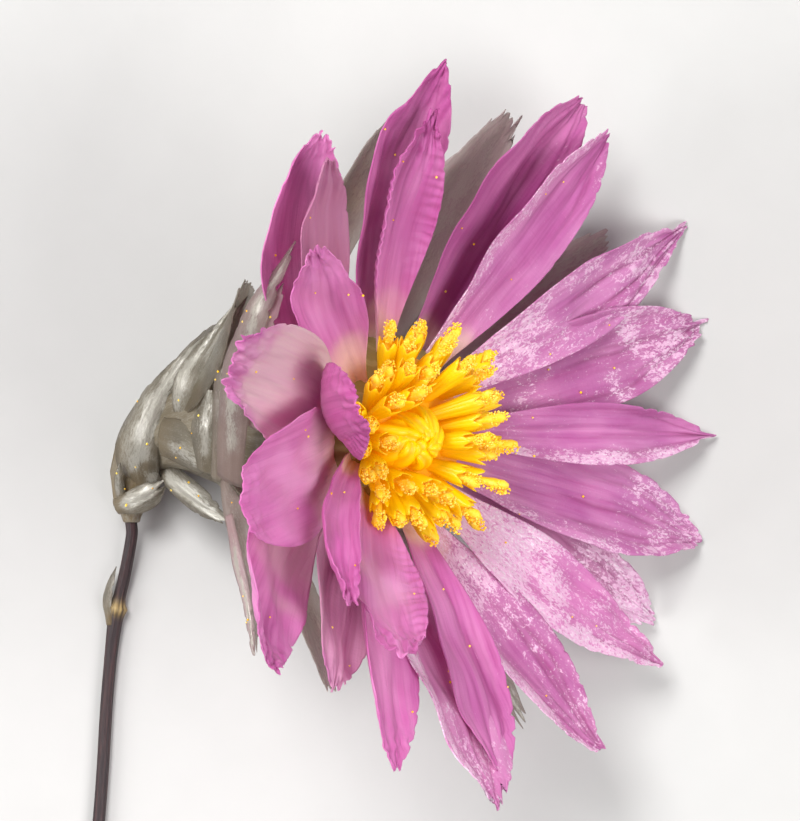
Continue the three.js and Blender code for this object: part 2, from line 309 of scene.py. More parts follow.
def sheet_body(middle: Array, normal: Array, thickness: Array, layers: dict[str, Array]) -> Body:
    """A closed sheet: its middle surface carried half the thickness out on both faces, and a rim.

    Args:
        middle: Points (rows, columns, 3) of the middle surface.
        normal: Its unit normals, the inner face's side.
        thickness: Its thickness at each point.
        layers: The layers at each point of the middle surface.

    Returns:
        The closed body. The rim's faces are flat, so that the faces keep their own shading.
    """
    rows, columns = middle.shape[:2]
    count = rows * columns
    half = normal * thickness[..., None] / 2.0
    index = np.arange(count).reshape(rows, columns)
    a, b, c, d = index[:-1, :-1], index[1:, :-1], index[1:, 1:], index[:-1, 1:]
    front = np.stack([a, b, c, d], -1).reshape(-1, 4)
    edges = [(index[1:, 0], index[:-1, 0]), (index[:-1, -1], index[1:, -1]),
             (index[0, :-1], index[0, 1:]), (index[-1, 1:], index[-1, :-1])]
    rim = np.concatenate([np.stack([p, q, q + count, p + count], -1) for p, q in edges])
    faces = np.concatenate([front, front[:, ::-1] + count, rim])
    smooth = np.arange(len(faces)) < 2 * len(front)
    points = np.concatenate([(middle + half).reshape(-1, 3), (middle - half).reshape(-1, 3)])
    both = {name: np.tile(values.reshape(count, -1), (2, 1)) for name, values in layers.items()}
    return Body(points, faces.tolist(), smooth, both)


def tube_body(rings: Array, first: Array, last: Array, layers: dict[str, Array]) -> Body:
    """A closed body from rings of points, with a point that closes each end.

    Args:
        rings: Points (rings, sides, 3), turning left about the way from first to last.
        first: The point before the first ring.
        last: The point after the last ring.
        layers: The layers at each point of the rings.

    Returns:
        The closed body.
    """
    rows, sides = rings.shape[:2]
    count = rows * sides
    index = np.arange(count).reshape(rows, sides)
    turned = np.roll(index, -1, 1)
    wall = np.stack([index[:-1], turned[:-1], turned[1:], index[1:]], -1).reshape(-1, 4)
    start = np.stack([turned[0], index[0], np.full(sides, count)], -1)
    end = np.stack([index[-1], turned[-1], np.full(sides, count + 1)], -1)
    points = np.concatenate([rings.reshape(-1, 3), [first, last]])
    faces = wall.tolist() + start.tolist() + end.tolist()
    whole = {name: np.concatenate([values.reshape(count, -1), [values[0].mean(0), values[-1].mean(0)]])
             for name, values in layers.items()}
    return Body(points, faces, np.ones(len(faces), bool), whole)


def stacked(*values: Array | float) -> Array:
    """Numbers and arrays put side by side as the last axis of one array."""
    return np.stack(np.broadcast_arrays(*values), -1).astype(float)


def ring_points(centres: Array, u: Array, v: Array, radius: Array, angle: Array) -> Array:
    """Rings round centres: each point is the centre plus radius * (u cos angle + v sin angle).

    Args:
        centres: The middle of each ring (rings, 3).
        u: A direction square to each ring's axis.
        v: The direction a quarter turn on from it.
        radius: Radii (rings, sides).
        angle: Angles in radians, of the same shape or one for each side.

    Returns:
        Points (rings, sides, 3).
    """
    spread = u[..., None, :] * np.cos(angle)[..., None] + v[..., None, :] * np.sin(angle)[..., None]
    return centres[..., None, :] + spread * radius[..., None]


def turns(sides: int) -> Array:
    """Even angles once round, in radians."""
    return 2 * np.pi * np.arange(sides) / sides


def waves(angle: Array, parts: Sequence[tuple[int, float, Array | float]], base: float) -> Array:
    """A number plus cosines round the turn: depth * cos(count * angle + phase) for each part.

    Args:
        angle: The angles.
        parts: Triples of count, depth and phase.
        base: The number that they are added to.

    Returns:
        The sum at each angle.
    """
    return sum((depth * np.cos(count * angle + phase) for count, depth, phase in parts), base)


def across_pair(direction: Array) -> tuple[Array, Array]:
    """Two directions square to a direction and to each other, the first one level."""
    u = unit(np.cross(np.array([0.0, 0.0, 1.0]), direction))
    return u, np.cross(direction, u)


@dataclass(frozen=True)
class Outline:
    """Width along a blade as a share of its greatest: narrow claw, belly, narrow tip."""

    claw: float
    belly: float
    tip: float
    sharp: float = 2.2

    def half_width(self, s: Array) -> Array:
        """A sine's power up to the belly and then 1 less a power, at shares s of the length."""
        rise = np.sin(np.pi / 2 * np.clip(s / self.belly, 0.0, 1.0)) ** SWELL_POWER
        fall = np.clip((s - self.belly) / (1 - self.belly), 0.0, 1.0) ** self.sharp
        return np.where(s < self.belly, self.claw + (1 - self.claw) * rise, 1 - (1 - self.tip) * fall)


@dataclass(frozen=True)
class Blade:
    """A bract's middle surface.

    Its middle line leaves the root at lift[0] degrees above the ring and bends evenly to lift[1],
    and it bends sideways by sway. Its section is an arc of the half-angle roll that opens towards
    the axis, and it turns about its line from twist[0] to twist[1].
    """

    root: Array
    out: Array
    up: Array
    length: float
    width: float
    lift: tuple[float, float]
    roll: float
    twist: tuple[float, float]
    outline: Outline
    sway: float = 0.0

    def surface(self, s: Array, t: Array) -> tuple[Array, Array, Array, Array]:
        """Points, normals, and the directions along and across.

        A point is the middle line's, plus wide * (w / bend) sin(bend t), plus
        inner * (w / bend) (1 - cos(bend t)), for half width w and half-angle bend.

        Args:
            s: Shares of the length (rows,). Those below zero lie in the root.
            t: Shares of the half width (columns,), from -1 to 1.

        Returns:
            Four arrays (rows, columns, 3): points, unit normals, along, and across.
        """
        share = np.clip(s, 0.0, 1.0)
        angle = np.radians(self.lift[0] + (self.lift[1] - self.lift[0]) * share)[:, None]
        sway = np.radians(self.sway * share)[:, None]
        tangent = np.cross(self.up, self.out)
        out = np.cos(sway) * self.out + np.sin(sway) * tangent
        along = np.cos(angle) * out + np.sin(angle) * self.up
        strides = unit(along[1:] + along[:-1]) * (np.diff(s) * self.length)[:, None]
        walked = np.concatenate([np.zeros((1, 3)), np.cumsum(strides, 0)])
        rooted = np.stack([np.interp(0.0, s, walked[:, k]) for k in range(3)])
        middle = self.root + walked - rooted
        side = np.cos(sway) * tangent - np.sin(sway) * self.out
        inner = np.cross(along, side)
        turn = np.radians(self.twist[0] + (self.twist[1] - self.twist[0]) * share)[:, None]
        wide = np.cos(turn) * side + np.sin(turn) * inner
        inner = np.cross(along, wide)
        w = (self.width / 2) * self.outline.half_width(share)
        bend = np.minimum(np.radians(self.roll), w / TIGHTEST_ROLL)
        curl = (bend[:, None] * t)[..., None]
        reach = (w / bend)[:, None, None]
        wide, inner, along = wide[:, None, :], inner[:, None, :], along[:, None, :]
        points = middle[:, None, :] + wide * reach * np.sin(curl) + inner * reach * (1 - np.cos(curl))
        normals = inner * np.cos(curl) - wide * np.sin(curl)
        across = wide * np.cos(curl) + inner * np.sin(curl)
        return points, normals, np.broadcast_to(along, points.shape), across


@dataclass(frozen=True)
class Draped:
    """A bract's middle surface that follows a curve through given points and bulges outwards.

    Its section is an arc of the half-angle roll, whose middle faces outwards.
    """

    line: tuple[tuple[float, float, float], ...]
    facing: tuple[float, float, float]
    width: float
    roll: float
    outline: Outline

    @property
    def length(self) -> float:
        """The length of the curve."""
        return float(lengths_along(curve_through(np.array(self.line)))[-1])

    def surface(self, s: Array, t: Array) -> tuple[Array, Array, Array, Array]:
        """Points, normals, and the directions along and across.

        A point is the curve's, plus wide * (w / roll) sin(roll t), less
        outer * (w / roll) (1 - cos(roll t)), for half width w.

        Args:
            s: Shares of the length (rows,). Those below zero go straight on beyond the root.
            t: Shares of the half width (columns,), from -1 to 1.

        Returns:
            Four arrays (rows, columns, 3): points, unit normals, along, and across.
        """
        fine = curve_through(np.array(self.line))
        run = lengths_along(fine)
        share = np.clip(s, 0.0, 1.0)
        middle = np.stack([np.interp(share * run[-1], run, fine[:, k]) for k in range(3)], -1)
        middle = middle + np.minimum(s, 0.0)[:, None] * run[-1] * unit(fine[1] - fine[0])
        along = unit(np.gradient(middle, axis=0))
        wide = unit(np.cross(along, np.array(self.facing)))
        outer = np.cross(wide, along)
        roll = math.radians(self.roll)
        curl = (roll * t)[None, :, None]
        reach = ((self.width / 2) * self.outline.half_width(share) / roll)[:, None, None]
        wide, outer = wide[:, None, :], outer[:, None, :]
        points = middle[:, None, :] + wide * reach * np.sin(curl) - outer * reach * (1 - np.cos(curl))
        normals = -outer * np.cos(curl) - wide * np.sin(curl)
        across = wide * np.cos(curl) - outer * np.sin(curl)
        return points, normals, np.broadcast_to(along[:, None, :], points.shape), across


@dataclass(frozen=True)
class Face:
    """What makes a blade's face its own: its relief in millimetres and its colour zones."""

    pleats: float = 3.0
    pleat_depth: float = 0.05
    swell: float = 0.14
    fold_at: float = 0.0
    fold_depth: float = 0.0
    crinkle: tuple[float, float] = (0.0, 0.0)
    tip_crinkle: float = 0.02
    ragged: float = 0.12
    teeth: float = 0.2
    # tone runs from lilac to pink and also sets some bracts darker, as painted shade; light is a painted
    # highlight zone; depth is painted shade; frost is white frosted patches, partly the bracts' own
    # whitening and partly painted highlight.
    tone: float = 0.5
    cream: float = 0.1
    veil: float = 0.0
    blush: float = 0.0
    light: float = 0.0
    depth: float = 0.0
    streaks: float = 0.4
    creases: float = 0.6
    frost: tuple[float, float, float, float] = (0.0, 0.0, 0.0, 0.0)


@dataclass(frozen=True)
class PaperSheet:
    """A blade with its face: makes the fine closed sheet."""

    blade: Blade | Draped
    face: Face
    seed: int
    thickness: float
    rows: int
    columns: int
    root_depth: float = ROOT_DEPTH

    # Pitches and depths are millimetres. Zones and widths are shares of the length or half width.
    ROW_SPACING = 1.25
    THINNING = 0.35
    CUSHION = 0.2
    NICK_PITCH = 0.55
    NICK_LEVEL = 0.25
    NICKED = (0.3, 0.9)
    TEETH_PITCH = 0.3
    TOOTHED = (0.88, 1.0)
    APART = 5.0
    SIDES_APART = 9.0
    WANDER_PITCH = 6.0
    PLEAT_WANDER = 1.4
    CLAW_PLEAT = 0.25
    PLEATED = (0.3, 0.95)
    VEIN_WANDER = 2.0
    SWELL_PITCH = 4.5
    SWOLLEN = (0.1, 0.5)
    CREASES = 7
    CREASE_REACH = 0.8
    CREASE_GATHER = 0.3
    GATHERED = (0.6, 1.0)
    CREASE_WANDER = 0.03
    CREASE_WAVE = 1.7
    CREASE_PHASE = 40
    CREASE_START = (0.3, 0.75)
    CREASE_FADE = 0.25
    CREASE_WIDTH = 0.05
    CREASE_DEPTH = 0.10
    FOLD_WIDTH = 0.16
    FOLD_WANDER = 0.08
    FOLDED = (0.05, 0.35)
    FOLD_EASING = 0.6
    CRINKLE_PITCH = 0.5
    CRINKLE_BEAT = 2.5
    BEAT_PITCH = 1.6
    EDGE_SHARE = 0.25
    CRINKLED = (0.15, 0.5)
    TIP_PITCH = 0.36
    RUMPLED = (0.72, 1.0)
    DRIFT = 0.06
    DRIFT_PITCH = 2.5
    CREAM_CURVE = 0.05
    CREAM_START = 0.3
    CREAM_FADE = 0.1
    BASE_FROST = (0.3, 0.8)
    TIP_FROST = (0.45, 0.8)
    SIDE_FROST = (0.0, 0.8)
    FROST_DRIFT = 2.5
    VEIL_CURVE = 0.12
    VEIL_FADE = (0.2, 0.12)
    # Painted shade at crinkled margins and rumpled tips, then the place and size of the painted highlight
    # zone.
    CRINKLE_SHADE = 6.0
    TIP_SHADE = 5.0
    TIP_DARK = (0.75, 1.0)
    HIGHLIGHT_AT = 0.55
    HIGHLIGHT_LENGTH = 0.25
    HIGHLIGHT_WIDTH = 0.5
    HIGHLIGHT_DRIFT = 4

    def body(self) -> Body:
        """Works out the sheet.

        The middle surface is carried along its normals by the relief, notches are cut into its
        side edges and teeth into its tip, and normals are then taken again from the differences
        along the grid.

        Returns:
            The closed sheet with its layers.
        """
        face, length = self.face, self.blade.length
        sunk = self.root_depth / length
        even = np.linspace(0.0, 1.0, self.rows)
        s = -sunk + (1 + sunk) * (1 - (1 - even) ** self.ROW_SPACING)
        t = np.linspace(-1.0, 1.0, self.columns)
        points, normals, along, across = self.blade.surface(s, t)
        half = (self.blade.width / 2) * self.blade.outline.half_width(np.clip(s, 0.0, 1.0))
        s, t = np.broadcast_arrays(s[:, None], t[None, :])
        u, v = s * length, t * half[:, None]
        points = points + normals * self.relief(s, t, u, v)[..., None]
        edge = Ripples(self.seed + 1, self.NICK_PITCH)(u, np.sign(t) * self.SIDES_APART)
        notch = np.maximum(edge - self.NICK_LEVEL, 0.0)
        nick = -face.ragged * notch * np.abs(t) ** 3 * np.sign(t) * step(s, *self.NICKED)
        tip = Ripples(self.seed + 2, self.TEETH_PITCH)(v, self.APART)
        tooth = tip * face.teeth * step(s, *self.TOOTHED)
        points = points + across * nick[..., None] + along * tooth[..., None]
        normals = unit(np.cross(np.gradient(points, axis=0), np.gradient(points, axis=1)))
        thickness = self.thickness * (1.0 - self.THINNING * np.abs(t)) * (1.0 - self.THINNING * s)
        layers = {"grain": stacked(u, v, self.seed), **self.colours(s, t, u, v)}
        return sheet_body(settled(points, self.CUSHION), normals, thickness, layers)

    def creases(self, s: Array, t: Array, u: Array) -> Array:
        """Thin creases that draw together towards the tip.

        Each is a narrow bell across the blade about a place that wanders a little with the length.

        Args:
            s: Shares of the length.
            t: Shares of the half width.
            u: Millimetres along.

        Returns:
            The strength of the creases, up to 1.
        """
        draws = np.random.default_rng(self.seed + 8)
        strength = np.zeros_like(t)
        gather = 1 - self.CREASE_GATHER * step(s, *self.GATHERED)
        for place in draws.uniform(-self.CREASE_REACH, self.CREASE_REACH, self.CREASES):
            wave = np.sin(self.CREASE_WAVE * u + self.CREASE_PHASE * place)
            middle = place * gather + self.CREASE_WANDER * wave
            start = draws.uniform(*self.CREASE_START)
            bell = np.exp(-(((t - middle) / self.CREASE_WIDTH) ** 2))
            strength = np.maximum(strength, bell * step(s, start, start + self.CREASE_FADE))
        return strength * self.face.creases

    def relief(self, s: Array, t: Array, u: Array, v: Array) -> Array:
        """Heights of the face: pleats, veins, creases, a fold, crinkled margins and a broad swell.

        Pleats and veins are cosines across the blade, the fold is a bell, the crinkles are a sine
        along the margins, and the swell and the rumpled tip are noise. Each sets in over a zone.

        Args:
            s: Shares of the length.
            t: Shares of the half width.
            u: Millimetres along.
            v: Millimetres across.

        Returns:
            The height at each point, towards the inner face.
        """
        face = self.face
        wander = Ripples(self.seed + 3, self.WANDER_PITCH)(u, v)
        phase = np.pi * face.pleats * t + self.PLEAT_WANDER * wander + self.seed
        pleat = np.cos(phase) * face.pleat_depth
        rise = self.CLAW_PLEAT + (1 - self.CLAW_PLEAT) * step(s, *self.PLEATED)
        height = pleat * rise * (1 - t**4)
        height = height + VEIN_HEIGHT * np.cos(2 * np.pi * v / VEIN_PITCH + self.VEIN_WANDER * wander)
        swell = Ripples(self.seed + 4, self.SWELL_PITCH)(u, 2 * v)
        height = height + face.swell * swell * step(s, *self.SWOLLEN)
        height = height - self.CREASE_DEPTH * self.creases(s, t, u)
        gap = (t - face.fold_at - self.FOLD_WANDER * wander) / self.FOLD_WIDTH
        fold = np.exp(-(gap**2)) * step(s, *self.FOLDED) * (1 - self.FOLD_EASING * s)
        height = height - face.fold_depth * fold
        beat = Ripples(self.seed + 5, self.BEAT_PITCH)(u, v)
        wave = np.sin(2 * np.pi * u / self.CRINKLE_PITCH + self.CRINKLE_BEAT * beat)
        for margin, depth in zip((-t, t), face.crinkle):
            zone = step(margin, self.EDGE_SHARE, 1.0) * step(s, *self.CRINKLED)
            height = height + depth * wave * zone
        rumple = Ripples(self.seed + 6, self.TIP_PITCH)(0.5 * u, v)
        return height + face.tip_crinkle * rumple * step(s, *self.RUMPLED)

    def colours(self, s: Array, t: Array, u: Array, v: Array) -> dict[str, Array]:
        """The colour zones.

        Args:
            s: Shares of the length.
            t: Shares of the half width.
            u: Millimetres along.
            v: Millimetres across.

        Returns:
            The tint layer, of pinkness, frost (partly painted highlight), veil and depth (painted shade),
            and the marks layer, of creases (painted shade along them), streaks, lightness (a painted
            highlight zone) and tone.
        """
        face = self.face
        drift = self.DRIFT * Ripples(self.seed + 7, self.DRIFT_PITCH)(u, v)
        curved = s + drift + self.CREAM_CURVE * t**2
        pinkness = step(curved, face.cream * self.CREAM_START, face.cream + self.CREAM_FADE)
        at_base, at_tip, at_low, at_high = face.frost
        frost = at_base * (1 - step(s + 2 * drift, *self.BASE_FROST))
        frost = frost + at_tip * step(s + drift, *self.TIP_FROST)
        frost = np.maximum(frost, at_low * step(-t, *self.SIDE_FROST))
        both = np.maximum(frost, at_high * step(t, *self.SIDE_FROST))
        frost = np.clip(both + self.FROST_DRIFT * drift * frost, 0, 1)
        before, after = self.VEIL_FADE
        curved = s + drift + self.VEIL_CURVE * t**2
        veil = face.veil * (1 - step(curved, face.blush - before, face.blush + after))
        # Painted shade: the bract's own depth setting, darker crinkled margins and darker rumpled tips,
        # where shade falls in the crinkles.
        edge = max(face.crinkle) * self.CRINKLE_SHADE * step(np.abs(t), self.EDGE_SHARE, 1.0)
        depth = face.depth + edge + self.TIP_SHADE * face.tip_crinkle * step(s, *self.TIP_DARK)
        # A painted highlight: a soft bright zone part way along the blade, wandering across it.
        middle = ((s - self.HIGHLIGHT_AT) / self.HIGHLIGHT_LENGTH) ** 2
        light = face.light * np.exp(-middle - ((t + self.HIGHLIGHT_DRIFT * drift) / self.HIGHLIGHT_WIDTH) ** 2)
        tint = stacked(pinkness, frost, veil, np.clip(depth, 0.0, 1.0))
        return {"tint": tint, "marks": stacked(self.creases(s, t, u), face.streaks, light, face.tone)}


def linear(red: int, green: int, blue: int) -> tuple[float, float, float, float]:
    """A colour given in screen values from 0 to 255, as the linear colour that shaders take.

    By the screen standard, a share x up to 0.04045 becomes x / 12.92, and above it
    ((x + 0.055) / 1.055) to the power 2.4.

    Args:
        red: The red value.
        green: The green value.
        blue: The blue value.

    Returns:
        The linear colour, with an alpha of one.
    """
    shares = np.array([red, green, blue]) / 255.0
    bent = np.where(shares <= 0.04045, shares / 12.92, ((shares + 0.055) / 1.055) ** 2.4)
    return (*bent.tolist(), 1.0)


class Wire:
    """A shader number. Arithmetic on it adds the Math nodes that work it out."""

    def __init__(self, recipe: Recipe, socket: bpy.types.NodeSocket) -> None:
        """Wraps a socket of a recipe's node tree."""
        self.recipe = recipe
        self.socket = socket

    def _math(self, operation: str, *values: Wire | float) -> Wire:
        """A Math node of this operation on these values."""
        inputs = dict(enumerate(values))
        return self.recipe.number("ShaderNodeMath", {"operation": operation}, inputs)

    def __add__(self, other: Wire | float) -> Wire:
        """The sum."""
        return self._math("ADD", self, other)

    def __sub__(self, other: Wire | float) -> Wire:
        """The difference."""
        return self._math("SUBTRACT", self, other)

    def __rsub__(self, other: float) -> Wire:
        """The difference from a number."""
        return self._math("SUBTRACT", other, self)

    def __mul__(self, other: Wire | float) -> Wire:
        """The product."""
        return self._math("MULTIPLY", self, other)

    __radd__ = __add__
    __rmul__ = __mul__

    def over(self, low: float, high: float, strength: float) -> Wire:
        """A smooth step from 0 at low to a strength at high."""
        settings = {"interpolation_type": "SMOOTHSTEP"}
        inputs = {0: self, 1: low, 2: high, 4: strength}
        return self.recipe.number("ShaderNodeMapRange", settings, inputs)


@dataclass(frozen=True)
class Grain:
    """A noise in a body's grain: its rates along and across in a millimetre, its layers and warp."""

    along: float
    across: float
    detail: float = 2.0
    rough: float = 0.55
    warp: float = 0.0


@dataclass(frozen=True)
class Band:
    """A share that grows smoothly from 0 to its strength as a value goes from low to high."""

    low: float
    high: float
    strength: float = 1.0

    def of(self, value: Wire) -> Wire:
        """The share for a value."""
        return value.over(self.low, self.high, self.strength)


class Recipe:
    """One material's node tree."""

    SEED_RATE = 7.3

    def __init__(self, name: str) -> None:
        """Starts an empty tree."""
        self.made = bpy.data.materials.new(name)
        self.made.use_nodes = True
        self.tree = self.made.node_tree
        self.tree.nodes.clear()

    def node(self, kind: str, settings: dict, inputs: dict) -> bpy.types.Node:
        """Adds a node.

        Args:
            kind: The node's type.
            settings: Its properties, set first.
            inputs: A number, a colour, a vector, a wire or a socket for each input.

        Returns:
            The node.
        """
        node = self.tree.nodes.new(kind)
        for key, value in settings.items():
            setattr(node, key, value)
        for key, value in inputs.items():
            if isinstance(value, Wire):
                value = value.socket
            if isinstance(value, bpy.types.NodeSocket):
                self.tree.links.new(value, node.inputs[key])
            else:
                node.inputs[key].default_value = value
        return node

    def number(self, kind: str, settings: dict, inputs: dict) -> Wire:
        """Adds a node and wraps its first output."""
        return Wire(self, self.node(kind, settings, inputs).outputs[0])

    def shares(self, layer: str) -> tuple[Wire, Wire, Wire, Wire]:
        """The four shares that a layer holds."""
        source = self.node("ShaderNodeAttribute", {"attribute_name": layer}, {}).outputs
        red, green, blue = self.node("ShaderNodeSeparateColor", {}, {0: source["Color"]}).outputs
        return Wire(self, red), Wire(self, green), Wire(self, blue), Wire(self, source["Alpha"])

    def noise_at(self, vector: bpy.types.NodeSocket, kind: Grain) -> Wire:
        """Noise on a vector, about 0.5 in the middle.

        Args:
            vector: Where it is read.
            kind: Its layers and warp.

        Returns:
            The noise.
        """
        inputs = {"Vector": vector, "Scale": 1.0, "Detail": kind.detail, "Roughness": kind.rough,
                  "Distortion": kind.warp}
        return self.number("ShaderNodeTexNoise", {}, inputs)

    def noise(self, kind: Grain) -> Wire:
        """Noise that follows the body's grain layer, each body at a place of its own.

        Args:
            kind: Its rates, layers and warp.

        Returns:
            The noise.
        """
        grain = self.node("ShaderNodeAttribute", {"attribute_name": "grain"}, {}).outputs["Vector"]
        scaled = {0: grain, 1: (kind.along, kind.across, self.SEED_RATE)}
        place = self.node("ShaderNodeVectorMath", {"operation": "MULTIPLY"}, scaled).outputs[0]
        return self.noise_at(place, kind)

    def blend(self, share: Wire | float, first: object, second: object) -> bpy.types.NodeSocket:
        """A colour between two colours."""
        settings = {"data_type": "RGBA"}
        inputs = {0: share, 6: first, 7: second}
        return self.node("ShaderNodeMix", settings, inputs).outputs[2]

    def bump(self, height: Wire, distance: float) -> bpy.types.NodeSocket:
        """A Bump node's normal for a height, with its distance in millimetres."""
        inputs = {"Strength": 1.0, "Distance": distance * MM, "Height": height}
        return self.node("ShaderNodeBump", {}, inputs).outputs[0]

    def surface(self, colour: bpy.types.NodeSocket, normal: bpy.types.NodeSocket, inputs: dict,
                through: float = 0.0, glow: tuple = (0.0, 0.0, 0.0, 1.0)) -> None:
        """Ends the tree with a surface that may also let light through.

        Args:
            colour: The colour of the surface.
            normal: The bumped normal.
            inputs: The other inputs of the Principled node.
            through: The share of the light that goes through.
            glow: The colour of the light that comes through.
        """
        all_inputs = {"Base Color": colour, "Normal": normal, **inputs}
        shader = self.node("ShaderNodeBsdfPrincipled", {}, all_inputs).outputs[0]
        if through:
            behind = self.node("ShaderNodeBsdfTranslucent", {}, {"Color": glow}).outputs[0]
            shader = self.node("ShaderNodeMixShader", {}, {0: through, 1: shader, 2: behind}).outputs[0]
        self.node("ShaderNodeOutputMaterial", {}, {"Surface": shader})


class Finish:
    """A finish that makes its material once."""

    made: dict[str, bpy.types.Material] = {}

    def material(self) -> bpy.types.Material:
        """The material, made at the first call."""
        name = type(self).__name__
        if name not in Finish.made:
            recipe = Recipe(name)
            self.dress(recipe)
            Finish.made[name] = recipe.made
        return Finish.made[name]

    def dress(self, recipe: Recipe) -> None:
        """Fills the node tree. Each finish has its own."""
        raise NotImplementedError


@dataclass(frozen=True)
class PinkPaper(Finish):
    """The pink bracts: cream claws, streaked orchid pink, greyish veils and white frosted patches, which
    are partly the bracts' own silvery whitening and partly painted highlight, with painted glints, a
    painted highlight zone and painted shade.
    """

    lilac: tuple = linear(178, 92, 158)
    pink: tuple = linear(228, 122, 194)
    light: tuple = linear(250, 178, 224)
    deep: tuple = linear(168, 44, 126)
    shadow: tuple = linear(140, 44, 104)
    cream: tuple = linear(246, 210, 200)
    veil: tuple = linear(232, 208, 203)
    frost: tuple = linear(250, 206, 236)
    white: tuple = linear(255, 238, 250)
    glow: tuple = linear(232, 150, 206)
    through: float = 0.26

    fibres: Grain = Grain(0.3, 7.0, 3.0)
    streaks: Grain = Grain(0.10, 1.7, 2.0, 0.5)
    clouds: Grain = Grain(0.3, 0.5)
    patches: Grain = Grain(0.7, 1.3, 3.0, 0.6, 0.6)
    lace: Grain = Grain(3.6, 6.0, 4.0, 0.66, 0.9)
    specks: Grain = Grain(7.0, 13.0, 2.0, 0.6)
    wrinkles: Grain = Grain(5.5, 1.2, 3.0, 0.6, 0.5)

    cloudy: Band = Band(0.35, 0.7, 0.3)
    fibrous: Band = Band(0.46, 0.72, 0.3)
    dark_streaks: Band = Band(0.5, 0.62, 0.5)
    light_streaks: Band = Band(0.5, 0.62, 0.45)
    covered: Band = Band(0.1, 1.0)
    frosted: Band = Band(0.02, 0.3)
    # Where the lace of the frosted patches shows: partly the bracts' own whitening, partly painted
    # highlight.
    frost_glare_lace: Band = Band(0.74, 0.80)
    frost_glare_where: Band = Band(0.0, 0.25)
    # Painted glints: where the bright white specks show.
    glint_specks: Band = Band(0.70, 0.80)

    patch_depth: float = 0.7
    lace_cover: float = 0.34
    glint_speck_cover: float = 0.2
    # How far the painted shade of the depth share goes towards the deep colour.
    deepest: float = 0.75
    veil_fibres: tuple[float, float] = (0.8, 0.5)
    crease_share: float = 0.85
    cover_share: float = 0.22
    frost_glare_share: float = 0.8
    glint_speck_share: tuple[float, float] = (0.25, 0.6)
    fibre_height: float = 0.7
    wrinkle_height: tuple[float, float] = (0.45, 0.5)
    relief: float = 0.05
    roughness: float = 0.55
    polish: tuple[float, float] = (0.2, 0.15)
    sheen: float = 0.1
    coat: float = 0.4
    coat_roughness: float = 0.3

    def dress(self, recipe: Recipe) -> None:
        """Blends the zones, breaks them up with fibres, streaks and frosted lace, and bumps them. The
        shade in creases and in the depth share, the highlight zone, the glints and part of the frosted
        lace are painted light and shade.

        Args:
            recipe: The material's node tree.
        """
        pinkness, frost, veil, depth = recipe.shares("tint")
        crease, streaky, light, tone = recipe.shares("marks")
        fibres = recipe.noise(self.fibres)
        streaks = recipe.noise(self.streaks)
        clouds = recipe.noise(self.clouds)
        patch = recipe.noise(self.patches)
        lace = recipe.noise(self.lace)
        specks = recipe.noise(self.specks)
        wrinkles = recipe.noise(self.wrinkles)
        # The frosted patches and the fine lace in them: partly the bracts' own silvery whitening, partly
        # a painted highlight of their glossy cells.
        cover = self.covered.of(frost + self.patch_depth * (patch - MEAN)) * self.frosted.of(frost)
        frost_glare = self.frost_glare_lace.of(lace + self.lace_cover * cover) * self.frost_glare_where.of(cover)
        # Painted glints: bright specks, thickest in the frosted patches.
        bright = self.glint_specks.of(specks + self.glint_speck_cover * cover)
        veil_base, veil_play = self.veil_fibres
        bright_base, bright_play = self.glint_speck_share
        wrinkle_base, wrinkle_play = self.wrinkle_height
        frost_glare_polish, bright_polish = self.polish
        # Lilac to pink by each bract's tone: partly its own hue, partly painted shade where a bract is
        # set darker.
        colour = recipe.blend(tone, self.lilac, self.pink)
        colour = recipe.blend(self.cloudy.of(clouds), colour, self.light)
        colour = recipe.blend(self.fibrous.of(fibres), colour, self.deep)
        colour = recipe.blend(streaky * self.dark_streaks.of(streaks), colour, self.deep)
        colour = recipe.blend(streaky * self.light_streaks.of(1.0 - streaks), colour, self.light)
        # Painted shade: the depth share darkens towards the deep colour.
        colour = recipe.blend(depth * self.deepest, colour, self.deep)
        colour = recipe.blend(veil * (veil_base + veil_play * (fibres - MEAN)), colour, self.veil)
        # The painted highlight zone, towards the light colour.
        colour = recipe.blend(light, colour, self.light)
        colour = recipe.blend(1.0 - pinkness, colour, self.cream)
        colour = recipe.blend(crease * self.crease_share, colour, self.shadow)
        # The frosted patches and their lace towards near white, partly painted highlight, then the
        # painted glints in white.
        colour = recipe.blend(cover * self.cover_share, colour, self.frost)
        colour = recipe.blend(frost_glare * self.frost_glare_share, colour, self.frost)
        colour = recipe.blend(bright * (bright_base + bright_play * cover), colour, self.white)
        height = fibres * self.fibre_height + wrinkles * (wrinkle_base + frost * wrinkle_play)
        recipe.surface(colour, recipe.bump(height, self.relief), {
            "Roughness": self.roughness - frost_glare_polish * frost_glare - bright_polish * bright,
            "Sheen Weight": self.sheen,
            "Coat Weight": frost_glare * self.coat + bright * self.coat,
            "Coat Roughness": self.coat_roughness,
        }, self.through, self.glow)


@dataclass(frozen=True)
class CollarGreen(Finish):
    """The ring that the claws stand on: olive brown, with cream ribs."""

    olive: tuple = linear(146, 126, 74)
    cream: tuple = linear(196, 176, 132)
    ribs: Grain = Grain(0.3, 2.2, 3.0, 0.6)
    clouds: Grain = Grain(1.2, 1.2)
    ribbed: Band = Band(0.45, 0.75)
    cloud_share: tuple[float, float] = (0.4, 0.5)
    relief: float = 0.06
    roughness: tuple[float, float] = (0.65, 0.1)

    def dress(self, recipe: Recipe) -> None:
        """Blends by ribs and clouds.

        Args:
            recipe: The material's node tree.
        """
        ribs = recipe.noise(self.ribs)
        clouds = recipe.noise(self.clouds)
        base, play = self.cloud_share
        dull, polish = self.roughness
        colour = recipe.blend(self.ribbed.of(ribs) * (base + play * clouds), self.olive, self.cream)
        recipe.surface(colour, recipe.bump(ribs, self.relief), {"Roughness": dull - polish * clouds})


